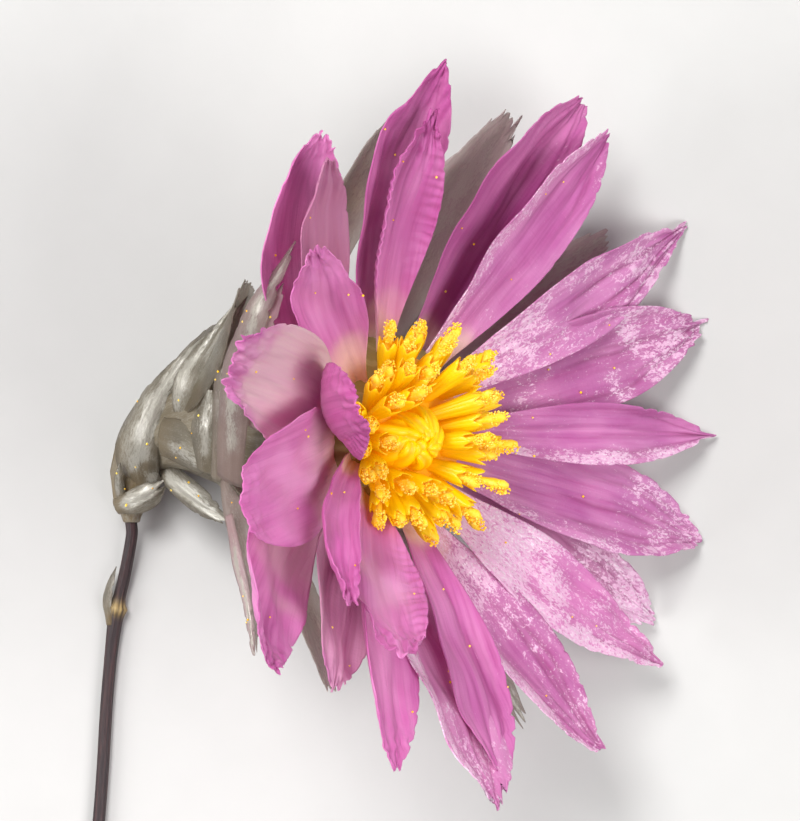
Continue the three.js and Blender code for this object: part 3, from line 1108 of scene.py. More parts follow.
@dataclass(frozen=True)
class SilverPaper(Finish):
    """The silver bracts: thin, translucent, grey, brown at the root, and silky where they swell, a sheen
    that is partly their own silvery white and partly painted highlight, with painted glints.
    """

    grey: tuple = linear(130, 122, 106)
    shade: tuple = linear(80, 72, 58)
    pale: tuple = linear(206, 202, 190)
    brown: tuple = linear(160, 130, 78)
    blush: tuple = linear(214, 170, 186)
    glow: tuple = linear(190, 182, 170)
    through: float = 0.36

    fibres: Grain = Grain(0.35, 9.0, 3.0, 0.6)
    cells: Grain = Grain(3.5, 12.0, 4.0, 0.7, 0.4)
    glints: Grain = Grain(9.0, 22.0, 1.0)
    clouds: Grain = Grain(0.6, 1.1)

    silken: Band = Band(0.4, 0.68)
    silk_where: Band = Band(0.0, 0.6)
    fibrous: Band = Band(0.45, 0.75, 0.25)
    shaded: Band = Band(0.42, 0.62, 0.5)
    glinting: Band = Band(0.58, 0.68)

    silk_level: float = -0.1
    silk_shine: float = 0.36
    silk_clouds: float = 0.35
    brown_share: tuple[float, float] = (0.5, 0.6)
    silk_share: float = 0.9
    glint_share: tuple[float, float] = (0.2, 0.7)
    fibre_height: float = 0.25
    cell_height: tuple[float, float] = (0.12, 0.9)
    glint_height: float = 0.25
    relief: float = 0.05
    metal: tuple[float, float] = (0.05, 0.35)
    roughness: tuple[float, float] = (0.42, 0.14)
    cover: tuple[float, float, float] = (0.45, 0.5, 0.3)
    coat: tuple[float, float] = (0.2, 0.7)
    coat_roughness: float = 0.2

    def dress(self, recipe: Recipe) -> None:
        """Blends grey, silky white and brown by the tint and the fibres, and thins the margins. The silky
        white is partly painted sheen highlight, and the glints are painted.

        Args:
            recipe: The material's node tree.
        """
        solid, brown, shine, blush = recipe.shares("tint")
        fibres = recipe.noise(self.fibres)
        cells = recipe.noise(self.cells)
        glints = recipe.noise(self.glints)
        clouds = recipe.noise(self.clouds)
        # The silky sheen: partly the bracts' own silvery white, partly a painted highlight along the band
        # of the shine share.
        silky = cells + self.silk_shine * shine + self.silk_level + self.silk_clouds * (clouds - MEAN)
        silk = self.silken.of(silky) * self.silk_where.of(shine)
        brown_base, brown_play = self.brown_share
        glint_base, glint_play = self.glint_share
        cell_base, cell_play = self.cell_height
        colour = recipe.blend(self.fibrous.of(fibres), self.grey, self.pale)
        colour = recipe.blend(self.shaded.of(1.0 - clouds), colour, self.shade)
        colour = recipe.blend(blush, colour, self.blush)
        colour = recipe.blend(brown * (brown_base + brown_play * clouds), colour, self.brown)
        colour = recipe.blend(silk * self.silk_share, colour, self.pale)
        # Painted glints, most where the shine share is high.
        glinting = self.glinting.of(glints) * (glint_base + glint_play * shine)
        colour = recipe.blend(glinting, colour, self.pale)
        height = fibres * self.fibre_height + cells * (cell_base + cell_play * shine)
        height = height + glints * self.glint_height
        recipe.surface(colour, recipe.bump(height, self.relief), {
            "Metallic": self.metal[0] + self.metal[1] * silk,
            "Roughness": self.roughness[0] - self.roughness[1] * silk,
            "Alpha": self.cover[0] + self.cover[1] * solid + self.cover[2] * silk,
            "Coat Weight": self.coat[0] + self.coat[1] * silk,
            "Coat Roughness": self.coat_roughness,
        }, self.through, self.glow)


@dataclass(frozen=True)
class FloretYellow(Finish):
    """The florets: waxy bright yellow, orange in the gaps as painted shade, paler at the lobes, with a
    faint painted glow.
    """

    bright: tuple = linear(255, 224, 0)
    orange: tuple = linear(250, 176, 0)
    pale: tuple = linear(255, 205, 70)
    through: float = 0.25
    glow_strength: float = 0.12
    ribs: Grain = Grain(0.4, 8.0)
    specks: Grain = Grain(9.0, 9.0)
    ribbed: Band = Band(0.5, 0.75, 0.3)
    dusted: Band = Band(0.35, 0.6)
    speck_height: float = 0.3
    relief: float = 0.03
    roughness: tuple[float, float] = (0.5, 0.15)

    def dress(self, recipe: Recipe) -> None:
        """Blends along each floret by the tint, from orange painted shade to lit yellow, with fine ribs
        and a faint painted glow.

        Args:
            recipe: The material's node tree.
        """
        glow, dust, _, _ = recipe.shares("tint")
        ribs = recipe.noise(self.ribs)
        specks = recipe.noise(self.specks)
        dull, polish = self.roughness
        # Painted shade: orange where the tint is low, in seams, at the feet and inside the tubes; yellow
        # where lit.
        colour = recipe.blend(glow, self.orange, self.bright)
        colour = recipe.blend(self.ribbed.of(ribs), colour, self.orange)
        colour = recipe.blend(dust * self.dusted.of(specks), colour, self.pale)
        recipe.surface(colour, recipe.bump(ribs + specks * self.speck_height, self.relief), {
            "Roughness": dull - polish * glow,
            # A painted glow: the florets give off a little light in their own colour.
            "Emission Color": colour,
            "Emission Strength": self.glow_strength,
        }, self.through, self.bright)


@dataclass(frozen=True)
class PollenGold(Finish):
    """The pollen grains and the pollen-covered styles, with a faint painted glow."""

    gold: tuple = linear(255, 200, 20)
    pale: tuple = linear(255, 222, 96)
    glow_strength: float = 0.12
    specks: Grain = Grain(6.0, 6.0)
    paled: Band = Band(0.2, 0.9)
    relief: float = 0.01
    roughness: tuple[float, float] = (0.65, 0.1)

    def dress(self, recipe: Recipe) -> None:
        """Varies from grain to grain.

        Args:
            recipe: The material's node tree.
        """
        own, _, _, _ = recipe.shares("tint")
        specks = recipe.noise(self.specks)
        dull, polish = self.roughness
        colour = recipe.blend(self.paled.of(own + specks - MEAN), self.gold, self.pale)
        recipe.surface(colour, recipe.bump(specks, self.relief), {
            "Roughness": dull - polish * specks,
            # A painted glow: the grains give off a little light in their own colour, against the shade
            # between them.
            "Emission Color": colour,
            "Emission Strength": self.glow_strength,
        })


@dataclass(frozen=True)
class StemBark(Finish):
    """The dry stem: dark purple-brown, finely ridged, dull."""

    dark: tuple = linear(34, 17, 21)
    warm: tuple = linear(80, 46, 45)
    scar: tuple = linear(176, 150, 96)
    streaks: Grain = Grain(0.5, 9.0, 4.0, 0.6)
    clouds: Grain = Grain(0.3, 0.8)
    streaked: Band = Band(0.42, 0.7)
    scarred: Band = Band(0.3, 0.6)
    cloud_share: tuple[float, float] = (0.4, 0.5)
    relief: float = 0.06
    roughness: tuple[float, float] = (0.55, 0.15)

    def dress(self, recipe: Recipe) -> None:
        """Streaks along the stalk, with a paler scar at the node.

        Args:
            recipe: The material's node tree.
        """
        scar, _, _, _ = recipe.shares("tint")
        streaks = recipe.noise(self.streaks)
        clouds = recipe.noise(self.clouds)
        base, play = self.cloud_share
        dull, polish = self.roughness
        colour = recipe.blend(self.streaked.of(streaks) * (base + clouds * play), self.dark, self.warm)
        colour = recipe.blend(scar * self.scarred.of(streaks), colour, self.scar)
        recipe.surface(colour, recipe.bump(streaks, self.relief), {"Roughness": dull - polish * streaks})


@dataclass(frozen=True)
class FloorPaper(Finish):
    """The plain pale floor."""

    pale: tuple = linear(196, 195, 193)
    shade: tuple = linear(192, 191, 189)
    mottle_rate: float = 400.0
    mottle: Grain = Grain(1.0, 1.0, 3.0)
    relief: float = 0.02
    roughness: tuple[float, float] = (0.75, 0.05)

    def dress(self, recipe: Recipe) -> None:
        """An even matt surface with the slightest mottling.

        Args:
            recipe: The material's node tree.
        """
        place = recipe.node("ShaderNodeTexCoord", {}, {}).outputs["Object"]
        inputs = {0: place, "Scale": self.mottle_rate}
        scaled = recipe.node("ShaderNodeVectorMath", {"operation": "SCALE"}, inputs)
        mottle = recipe.noise_at(scaled.outputs[0], self.mottle)
        dull, play = self.roughness
        colour = recipe.blend(mottle, self.pale, self.shade)
        recipe.surface(colour, recipe.bump(mottle, self.relief), {"Roughness": dull + play * mottle})


SMOOTH = (0.0, 0.0, 0.0, 0.0)


@dataclass(frozen=True)
class PinkBract:
    """One pink bract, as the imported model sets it, with its own face and outline."""

    turn: float
    row: int
    length: float
    width: float
    claw: float
    tip: float
    roll: float
    twist: float = 0.0
    narrow: float = 0.05
    sway: float = 0.0
    set_twist: float = 0.0
    sharp: float = 2.4
    belly: float = 0.55
    face: Face = field(default_factory=Face)


PINK_BRACTS = (
    PinkBract(-4.5, 0, 13.7, 2.9, 31, 12, 30, sharp=1.9, face=Face(tone=0.25,
        fold_at=0.1, fold_depth=0.22, frost=(0.4, 0.35, 0.8, 0.2), cream=0.05, teeth=0.3)),
    PinkBract(-20.5, 1, 14.0, 4.2, 31, 13, 20, face=Face(tone=0.15,
        frost=(0.3, 0.6, 0.6, 0.35), cream=0.05, creases=0.7)),
    PinkBract(-33, 2, 13.4, 3.8, 27, 8, 20, narrow=0.2, face=Face(tone=0.1,
        frost=(0.4, 0.8, 0.4, 0.6), veil=0.2, blush=1.0, creases=1.0, teeth=0.3)),
    PinkBract(-50, 0, 14.5, 3.8, 24, 6, 18, sway=24, sharp=1.6, belly=0.45, face=Face(tone=0.6,
        frost=(1.0, 0.55, 0.95, 0.45), cream=0.03, creases=0.8, teeth=0.3)),
    PinkBract(-71, 1, 13.7, 4.1, 28, 10, 30, sway=25, sharp=1.8, face=Face(tone=0.2, depth=0.25,
        fold_at=0.45, fold_depth=0.2, frost=(0.8, 0.5, 0.9, 0.25), creases=0.8, teeth=0.3)),
    PinkBract(-95, 0, 13.0, 3.6, 30, 18, 30, 10, face=Face(tone=0.65,
        fold_at=0.55, fold_depth=0.25, frost=(0.2, 0.15, 0.1, 0.0), cream=0.12)),
    PinkBract(-103, 2, 14.2, 5.4, 36, 24, 25, sway=10, sharp=3.4, face=Face(tone=0.4, teeth=0.3,
        frost=(0.4, 0.6, 0.8, 0.3), light=0.9)),
    PinkBract(-125, 1, 13.8, 4.2, 28, 20, 25, sway=10, narrow=0.08, face=Face(tone=0.85,
        tip_crinkle=0.05, frost=(0.0, 0.15, 0.0, 0.0), light=0.5, creases=0.3)),
    PinkBract(-137.5, 2, 11.4, 4.4, 28, 18, 25, sway=10, narrow=0.1, face=Face(tone=0.3,
        veil=0.45, blush=1.1, depth=0.15, creases=0.3)),
    PinkBract(-134.5, 0, 11.3, 4.0, 26, 40, 35, 20, set_twist=20, narrow=0.3, face=Face(tone=0.9,
        crinkle=(0.0, 0.07), tip_crinkle=0.09, fold_at=-0.05, fold_depth=0.15, cream=0.14,
        light=1.0, depth=-0.4, creases=0.15)),
    PinkBract(-162, 0, 11.0, 2.4, 21, 33, 80, set_twist=30, sway=40, narrow=0.3, face=Face(tone=0.9,
        tip_crinkle=0.08, cream=0.1, creases=0.2)),
    PinkBract(-156, 2, 15.2, 5.4, 5, 38, 25, sway=20, narrow=0.15, sharp=1.9, belly=0.5,
        face=Face(tone=0.7, tip_crinkle=0.07, veil=0.75, blush=0.6, creases=0.3)),
    PinkBract(-171, 1, 12.2, 5.7, 27, 9, 25, set_twist=-8, narrow=0.5, face=Face(tone=0.9,
        tip_crinkle=0.04, teeth=0.03, ragged=0.03, veil=0.8, blush=0.5, light=0.7, creases=0.0)),
    PinkBract(168, 1, 12.2, 5.2, 25, 10, 25, set_twist=-10, narrow=0.5, face=Face(tone=0.5,
        pleats=5.0, pleat_depth=0.07, tip_crinkle=0.13, teeth=0.2, veil=1.0, blush=0.95, cream=0.2,
        creases=0.2, depth=-0.6)),
    PinkBract(174, 0, 8.6, 4.6, 10, 70, 40, set_twist=20, narrow=0.4, face=Face(tone=0.8,
        crinkle=(0.05, 0.05), tip_crinkle=0.08, teeth=0.15, cream=0.2, creases=0.1)),
    PinkBract(144.5, 0, 10.9, 3.4, 18, 31, 50, -30, set_twist=-30, narrow=0.25, face=Face(tone=0.8,
        tip_crinkle=0.05, cream=0.3, light=0.3, creases=0.25)),
    PinkBract(139, 2, 12.3, 5.5, 4, 38, 22, -8, sway=-48, narrow=0.12, face=Face(tone=1.0,
        fold_at=0.2, fold_depth=0.12, tip_crinkle=0.04, cream=0.06, streaks=0.4, light=1.0, depth=-0.5,
        creases=0.3)),
    PinkBract(131.5, 1, 12.1, 3.4, 8, 42, 30, -20, sway=-6, narrow=0.12, face=Face(tone=0.1, depth=0.9,
        veil=0.3, blush=1.3, tip_crinkle=0.02, streaks=0.8, creases=0.3)),
    PinkBract(107, 0, 11.3, 3.7, 17, 37, 60, -20, sway=-14, narrow=0.1, face=Face(tone=0.75,
        crinkle=(0.05, 0.05), tip_crinkle=0.11, cream=0.2, teeth=0.3)),
    PinkBract(107, 1, 13.4, 4.2, 17, 38, 40, -25, sway=-24, face=Face(tone=0.6, depth=0.6,
        frost=(0.0, 0.2, 0.0, 0.1), tip_crinkle=0.05, streaks=0.8, cream=0.08, light=0.5,
        creases=0.4)),
    PinkBract(54, 1, 14.0, 4.8, 10, 26, 30, narrow=0.2, face=Face(tone=0.4, depth=0.45,
        fold_at=-0.25, fold_depth=0.2, frost=(0.0, 0.35, 0.35, 0.0), streaks=0.5, teeth=0.3)),
    PinkBract(50.5, 0, 13.7, 3.5, 24, 10, 30, sway=-8, narrow=0.25, face=Face(tone=0.45, teeth=0.3,
        frost=(0.35, 0.2, 0.4, 0.7), cream=0.1, creases=0.5)),
    PinkBract(27, 0, 15.3, 3.5, 30, 5, 25, sharp=1.7, face=Face(tone=0.2, teeth=0.3,
        frost=(0.72, 0.62, 0.5, 0.6), cream=0.03, creases=1.0)),
    PinkBract(13, 1, 14.0, 4.4, 33, 15, 22, face=Face(tone=0.05, teeth=0.3, depth=0.25,
        frost=(0.5, 0.66, 0.4, 0.4), cream=0.03, creases=0.8)),
)


@dataclass(frozen=True)
class PinkCrown:
    """The pink bracts in their three rows, and the collar that they stand on."""

    bracts: tuple[PinkBract, ...] = PINK_BRACTS
    rows: tuple[tuple[float, float], ...] = ((3.6, 0.0), (3.9, -0.7), (4.1, -1.4))
    collar: tuple[tuple[float, float], ...] = (
        (-2.5, 3.2), (-2.2, 3.9), (-1.2, 4.15), (-0.3, 4.1), (0.25, 3.7))
    thickness: float = 0.1
    steps: int = 96
    columns: int = 45
    claw: float = 0.34
    first_seed: int = 3
    seed_step: int = 11

    COLLAR_SIDES = 72
    COLLAR_PLEATS = 24
    COLLAR_PLEAT_DEPTH = 0.03

    def sheet(self, index: int, bract: PinkBract) -> Body:
        """One bract's closed sheet.

        Args:
            index: Its place in the list, which seeds its noise.
            bract: The bract.

        Returns:
            The sheet.
        """
        radius, height = self.rows[bract.row]
        blade = Blade(HEAD.point(radius, bract.turn, height), HEAD.outward(bract.turn), HEAD.axis,
                      bract.length, bract.width, (bract.claw, bract.tip),
                      bract.roll,
                      (bract.set_twist, bract.set_twist + bract.twist),
                      Outline(self.claw, bract.belly, bract.narrow, bract.sharp), bract.sway)
        seed = self.seed_step * index + self.first_seed
        return PaperSheet(blade, bract.face, seed, self.thickness, self.steps, self.columns).body()

    def build(self) -> list[Body]:
        """Makes a piece for each row and one for the collar, and gives the bracts back.

        Returns:
            The bracts' sheets.
        """
        sheets = [(bract.row, self.sheet(k, bract)) for k, bract in enumerate(self.bracts)]
        for row in range(len(self.rows)):
            chosen = [sheet for at, sheet in sheets if at == row]
            make_piece(f"pink_row_{row + 1}", chosen, PinkPaper(), Node.PINK)
        collar = turned_body(self.collar, self.COLLAR_SIDES, self.COLLAR_PLEATS,
                             self.COLLAR_PLEAT_DEPTH, SMOOTH)
        make_piece("pink_collar", [collar], CollarGreen(), Node.PINK)
        return [sheet for _, sheet in sheets]


def turned_body(profile: Sequence[tuple[float, float]], sides: int, pleats: int, pleat_depth: float,
                tint: Sequence[float]) -> Body:
    """A body turned about the head's axis, its radius waved by a cosine round the turn.

    Args:
        profile: Pairs of height and radius.
        sides: Points round each ring.
        pleats: Waves round each ring.
        pleat_depth: The waves' height as a share of the radius.
        tint: The four shares of its finish.

    Returns:
        The closed body.
    """
    heights, radii = np.array(profile).T
    angle = turns(sides)
    radius = radii[:, None] * (1 + pleat_depth * np.cos(pleats * angle))
    centres = HEAD.place + heights[:, None] * HEAD.axis
    low = np.broadcast_to(HEAD.low, centres.shape)
    side = np.broadcast_to(HEAD.side, centres.shape)
    rings = ring_points(centres, low, side, radius, angle)
    layers = {"grain": stacked(heights[:, None], angle * radii.mean(), 1.0),
              "tint": np.broadcast_to(np.array(tint, float), (*radius.shape, 4))}
    return tube_body(rings, centres[0], centres[-1], layers)


@dataclass(frozen=True)
class SilverScale:
    """A silver bract: share up the funnel, root distance, turn, size, lifts, channel and twist."""

    at: float
    radius: float
    turn: float
    length: float
    width: float
    lift: tuple[float, float]
    roll: float
    twist: float = 0.0
    blush: float = 0.0


@dataclass(frozen=True)
class SilverRow:
    """A row of silver bracts, evenly round the funnel."""

    at: float
    radius: float
    count: int
    length: float
    width: float
    lift: tuple[float, float]
    roll: float


@dataclass(frozen=True)
class ScaleSheet(PaperSheet):
    """A silver bract's sheet, which has its own zones."""

    brown: float = 0.3
    shine: float = 0.5
    shine_at: float = 0.1
    solid: float = 1.0
    blush: float = 0.0

    ZONE_PITCH = 1.8
    ZONE_DRIFT = 0.1
    MARGIN = (0.45, 1.0)
    TIP_ZONE = (0.6, 1.0)
    TIP_THINNING = 0.5
    BROWN_ROOT = (0.0, 0.5)
    SILKY = (0.0, 0.3)
    BAND_WIDTH = 0.4
    BAND_DRIFT = 0.15
    OFF_BAND = 0.25

    def colours(self, s: Array, t: Array, u: Array, v: Array) -> dict[str, Array]:
        """The zones of a silver bract: opaque body, brown root and silky swelling, whose sheen band is
        partly painted highlight.

        Args:
            s: Shares of the length.
            t: Shares of the half width.
            u: Millimetres along.
            v: Millimetres across.

        Returns:
            The tint layer.
        """
        drift = Ripples(self.seed + 7, self.ZONE_PITCH)(u, v)
        shifted = s + self.ZONE_DRIFT * drift
        margin = 1 - step(np.abs(t), *self.MARGIN)
        solid = margin * (1 - self.TIP_THINNING * step(s, *self.TIP_ZONE)) + self.ZONE_DRIFT * drift
        root = self.brown * (1 - step(shifted, *self.BROWN_ROOT))
        # The shine share: a band across the bract where the silky sheen is painted as a highlight, weaker
        # off the band.
        band = np.exp(-(((t - self.shine_at - self.BAND_DRIFT * drift) / self.BAND_WIDTH) ** 2))
        silky = self.shine * step(shifted, *self.SILKY) * (self.OFF_BAND + (1 - self.OFF_BAND) * band)
        tint = stacked(self.solid * solid, root, silky, self.blush)
        return {"tint": np.clip(tint, 0.0, 1.0)}


@dataclass(frozen=True)
class ShownBract:
    """A silver bract that the photo shows in full, laid through points on the foot."""

    line: tuple[tuple[float, float, float], ...]
    facing: tuple[float, float, float]
    width: float
    roll: float
    outline: Outline
    shine: float = 0.6
    shine_at: float = 0.0
    brown: float = 0.15
    solid: float = 1.0
    blush: float = 0.0


# The bracts on the side that faces up: the bulging one, its neighbour, the bowl and the round one,
# the long thin one and the two sheets behind the pink bracts, the white crest, the two strips
# below, and the two that wrap the neck.
SHOWN_BRACTS = (
    ShownBract(((-0.21, -1.60, 1.30), (-0.49, 0.28, 3.40), (0.34, 2.48, 4.40), (1.45, 4.15, 4.60),
                (2.49, 5.43, 4.20)),
               (-0.35, 0.1, 1.0), 2.35, 36, Outline(0.75, 0.3, 0.12, 1.1), 1.0, 0.2, 0.35),
    ShownBract(((1.89, 1.03, 4.60), (1.85, 2.61, 6.00), (2.30, 4.01, 6.60), (3.18, 5.54, 6.60),
                (4.00, 6.81, 6.20)),
               (-0.4, 0.1, 1.0), 1.45, 28, Outline(0.8, 0.4, 0.1, 1.6), 0.7, -0.5),
    ShownBract(((0.76, 1.08, 4.90), (1.59, 0.82, 6.30), (2.50, 0.30, 7.30), (3.56, -0.26, 8.00)),
               (-0.5, -0.1, 1.0), 2.0, 30, Outline(0.9, 0.3, 0.5, 2.0), 0.5, 0.3, 0.3),
    ShownBract(((2.86, -0.35, 7.90), (2.80, 0.96, 8.90), (2.90, 2.05, 9.20), (3.11, 3.13, 8.90)),
               (-0.45, 0.0, 1.0), 1.55, 30, Outline(0.7, 0.45, 0.25, 2.4), 0.6),
    ShownBract(((3.31, -0.69, 8.30), (3.48, 1.61, 9.90), (3.62, 3.77, 10.30), (4.05, 5.93, 10.20),
                (4.82, 7.66, 10.00)),
               (-0.5, 0.1, 1.0), 0.85, 25, Outline(0.8, 0.5, 0.1), 0.3, solid=0.5, blush=0.08),
    ShownBract(((3.88, -0.76, 10.20), (4.01, 1.62, 12.20), (4.37, 3.96, 14.60), (5.23, 6.39, 17.00),
                (6.80, 9.08, 17.60)),
               (-0.5, 0.1, 1.0), 1.8, 25, Outline(0.8, 0.5, 0.03, 1.8), 0.6, solid=0.35, blush=0.3),
    ShownBract(((4.96, 1.62, 12.50), (5.02, 3.96, 15.00), (5.47, 5.85, 16.60), (6.41, 7.53, 17.20)),
               (-0.5, 0.1, 1.0), 2.0, 25, Outline(0.8, 0.5, 0.05, 1.6), 0.3, solid=0.4, blush=0.8),
    ShownBract(((0.67, -0.04, 2.40), (1.40, -1.01, 3.00), (2.43, -1.80, 3.50), (3.50, -2.50, 3.90)),
               (-0.2, -0.5, 1.0), 1.4, 25, Outline(0.6, 0.5, 0.3), 1.0, 0.0, 0.1),
    ShownBract(((3.79, 0.00, 8.40), (4.11, -2.07, 9.30), (4.61, -3.78, 10.00), (4.92, -5.72, 10.40),
                (5.18, -7.73, 10.80)),
               (-0.5, -0.2, 1.0), 1.35, 25, Outline(0.8, 0.4, 0.15), 0.3, solid=0.5, blush=0.25),
    ShownBract(((3.91, -2.40, 9.90), (4.28, -4.20, 10.70), (4.63, -5.91, 11.20), (4.99, -7.88, 11.60)),
               (-0.5, -0.2, 1.0), 0.6, 30, Outline(0.7, 0.5, 0.35), 0.7, blush=0.55),
    ShownBract(((-1.26, -2.04, 1.70), (-0.53, -1.86, 2.40), (0.19, -1.54, 2.60), (0.85, -1.01, 2.50)),
               (-0.1, -0.2, 1.0), 1.3, 32, Outline(0.6, 0.55, 0.5), 1.0, -0.3, 0.3),
    ShownBract(((-1.02, -2.10, 1.20), (-1.24, -1.15, 2.20), (-1.13, -0.13, 2.80)),
               (-0.5, 0.0, 1.0), 0.75, 50, Outline(0.8, 0.5, 0.2), 0.6, 0.0, 0.5),
)


@dataclass(frozen=True)
class SilverFoot:
    """The silver foot: a curved funnel, covered by papery scales in rows, and the longest ones."""

    scales: tuple[SilverScale, ...] = (
        SilverScale(0.2, 0.6, 92, 6.0, 3.2, (74, 118), 60),
        SilverScale(0.36, 1.2, 30, 7.6, 3.4, (44, 34), 40),
        SilverScale(0.42, 1.4, 103, 10.6, 3.2, (74, 62), 45),
        SilverScale(0.75, 3.2, 97, 12.7, 3.4, (29, 41), 30, -10, blush=0.4),
        SilverScale(0.72, 3.3, -112, 11.4, 3.4, (46, 36), 25, blush=0.3),
        SilverScale(0.88, 4.2, 63.5, 11.9, 4.4, (9, 25), 22, blush=0.6),
        SilverScale(0.88, 4.2, 35, 12.3, 3.4, (27, 19), 20, blush=0.9),
        SilverScale(0.88, 4.2, -49, 12.7, 2.2, (16, 8), 20, blush=0.3),
    )
    rows: tuple[SilverRow, ...] = (
        SilverRow(0.14, 0.5, 4, 3.0, 2.4, (74, 112), 60),
        SilverRow(0.26, 0.8, 5, 4.4, 3.2, (66, 94), 60),
        SilverRow(0.4, 1.2, 7, 5.8, 3.6, (66, 76), 50),
        SilverRow(0.56, 2.1, 8, 9.0, 4.0, (60, 44), 36),
    )
    shown: tuple[ShownBract, ...] = SHOWN_BRACTS
    shown_root_depth: float = 0.15
    hidden_by_shown: tuple[int, ...] = (6, 11, 12, 19)
    funnel: tuple[tuple[float, float], ...] = (
        (0.0, 0.36), (0.02, 0.56), (0.05, 0.8), (0.13, 1.1), (0.22, 1.3), (0.3, 1.42), (0.4, 1.66),
        (0.52, 2.2), (0.64, 2.8), (0.76, 3.4), (0.84, 3.7), (0.9, 3.7),
    )
    ring: tuple[tuple[float, float], ...] = (
        (-0.3, 0.3), (-0.25, 0.38), (-0.05, 0.44), (0.15, 0.5), (0.35, 0.52), (0.5, 0.45))
    row_offset: float = 0.37
    jitter: tuple[float, float, float] = (10.0, 0.1, 4.0)
    seed: int = 1907
    thickness: float = 0.07
    steps: int = 56
    columns: int = 25
    outline: Outline = Outline(0.7, 0.5, 0.26)
    face: Face = Face(pleats=3.0, pleat_depth=0.012, swell=0.07, ragged=0.15, teeth=0.35,
                      tip_crinkle=0.02,
                      creases=0.1)
    deepest: float = -0.35
    shortening: float = 0.94
    shortest: float = 1 / 3
    probes: tuple[int, int] = (6, 3)
    packed_half_thickness: float = 0.3
    first_seed: int = 500
    shown_seed: int = 900
    seed_step: int = 13
    first_long: int = 80
    row_shine: float = 0.5
    long_shine: float = 0.8
    sheet_solid: float = 0.8
    root_brown: float = 0.8
    brown_loss: float = 0.5
    full_length: float = 8.0

    FUNNEL_SIDES = 64
    FUNNEL_WAVES = ((8, 0.04, 0.0), (23, 0.015, 0.0))
    FUNNEL_BROWN = ((0.0, 0.9), (0.12, 0.5), (0.3, 0.25))
    FUNNEL_GRAIN = (10, 2.0, 3.0)
    FUNNEL_SHINE = 0.2
    FUNNEL_CUSHION = 0.12
    RING_SIDES = 48
    RING_NOTCHES = ((7, 0.06, 0.0), (11, 0.05, 1.0))
    RING_NOTCHED = (-0.2, 0.3)
    RING_GRAIN = (0.5, 4.0)
    RING_BROWN = 0.75
    RING_SHINE = 0.35

    def row_scales(self) -> list[SilverScale]:
        """The rows' bracts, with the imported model's draws of turn, length and lifts.

        Returns:
            The bracts, from the lowest row up.
        """
        draw = Draws(self.seed)
        turn_jitter, length_jitter, lift_jitter = self.jitter
        made = []
        for order, row in enumerate(self.rows):
            for k in range(row.count):
                turn = 360 * (k + order * self.row_offset) / row.count + turn_jitter * draw()
                length = row.length * (1 + length_jitter * draw())
                lift = (row.lift[0] + lift_jitter * draw(), row.lift[1] + lift_jitter * draw())
                made.append(SilverScale(row.at, row.radius, turn, length, row.width, lift, row.roll))
        return made

    def blade(self, scale: SilverScale, reach: float) -> Blade:
        """A bract's middle surface at a length."""
        basis = SPINE.at(scale.at)
        return Blade(basis.point(scale.radius, scale.turn, 0.0), basis.outward(scale.turn), basis.axis,
                     reach, scale.width, scale.lift, scale.roll, (0.0, scale.twist),
                     self.outline)

    def fitted(self, scale: SilverScale) -> Blade:
        """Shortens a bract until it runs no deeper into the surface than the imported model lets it.

        Args:
            scale: The bract.

        Returns:
            Its middle surface.
        """
        rows, columns = self.probes
        reach = scale.length
        while reach > scale.length * self.shortest:
            blade = self.blade(scale, reach)
            points, normals, _, _ = blade.surface(np.linspace(0, 1, rows), np.linspace(-1, 1, columns))
            lowest = (points[..., 2] - self.packed_half_thickness * np.abs(normals[..., 2])).min()
            if lowest >= self.deepest:
                break
            reach *= self.shortening
        return self.blade(scale, reach)

    def sheet(self, index: int, blade: Blade, shine: float, blush: float = 0.0) -> Body:
        """A bract's closed sheet, browner at the root the shorter it is.

        Args:
            index: Its place in its row, which seeds its noise.
            blade: Its middle surface.
            shine: How silky it is.
            blush: How pink it is.

        Returns:
            The sheet.
        """
        brown = self.root_brown - self.brown_loss * min(1.0, blade.length / self.full_length)
        seed = self.first_seed + self.seed_step * index
        return ScaleSheet(blade, self.face, seed, self.thickness, self.steps, self.columns,
                          brown=brown, shine=shine, solid=self.sheet_solid, blush=blush).body()

    def shown_sheet(self, index: int, bract: ShownBract) -> Body:
        """The closed sheet of a bract that shows in full.

        Args:
            index: Its place in the list, which seeds its noise.
            bract: The bract.

        Returns:
            The sheet.
        """
        blade = Draped(bract.line, bract.facing, bract.width, bract.roll, bract.outline)
        seed = self.shown_seed + self.seed_step * index
        return ScaleSheet(blade, self.face, seed, self.thickness, self.steps, self.columns,
                          self.shown_root_depth, bract.brown, bract.shine, bract.shine_at, bract.solid,
                          bract.blush).body()

    def funnel_body(self) -> Body:
        """The funnel: rings square to the spine, their radius waved by pleats.

        Returns:
            The closed body.
        """
        shares, radii = np.array(self.funnel).T
        bases = [SPINE.at(share) for share in shares]
        angle = turns(self.FUNNEL_SIDES)
        centres = np.array([basis.place for basis in bases])
        low = np.array([basis.low for basis in bases])
        side = np.array([basis.side for basis in bases])
        radius = radii[:, None] * waves(angle, self.FUNNEL_WAVES, 1.0)
        rings = ring_points(centres, low, side, radius, angle)
        brown = np.interp(shares, *np.array(self.FUNNEL_BROWN).T)[:, None]
        along, across, own = self.FUNNEL_GRAIN
        layers = {"grain": stacked(along * shares[:, None], angle * across, own),
                  "tint": stacked(1.0, brown, self.FUNNEL_SHINE, np.zeros_like(radius))}
        body = tube_body(rings, centres[0], centres[-1], layers)
        body.points = settled(body.points, self.FUNNEL_CUSHION)
        return body

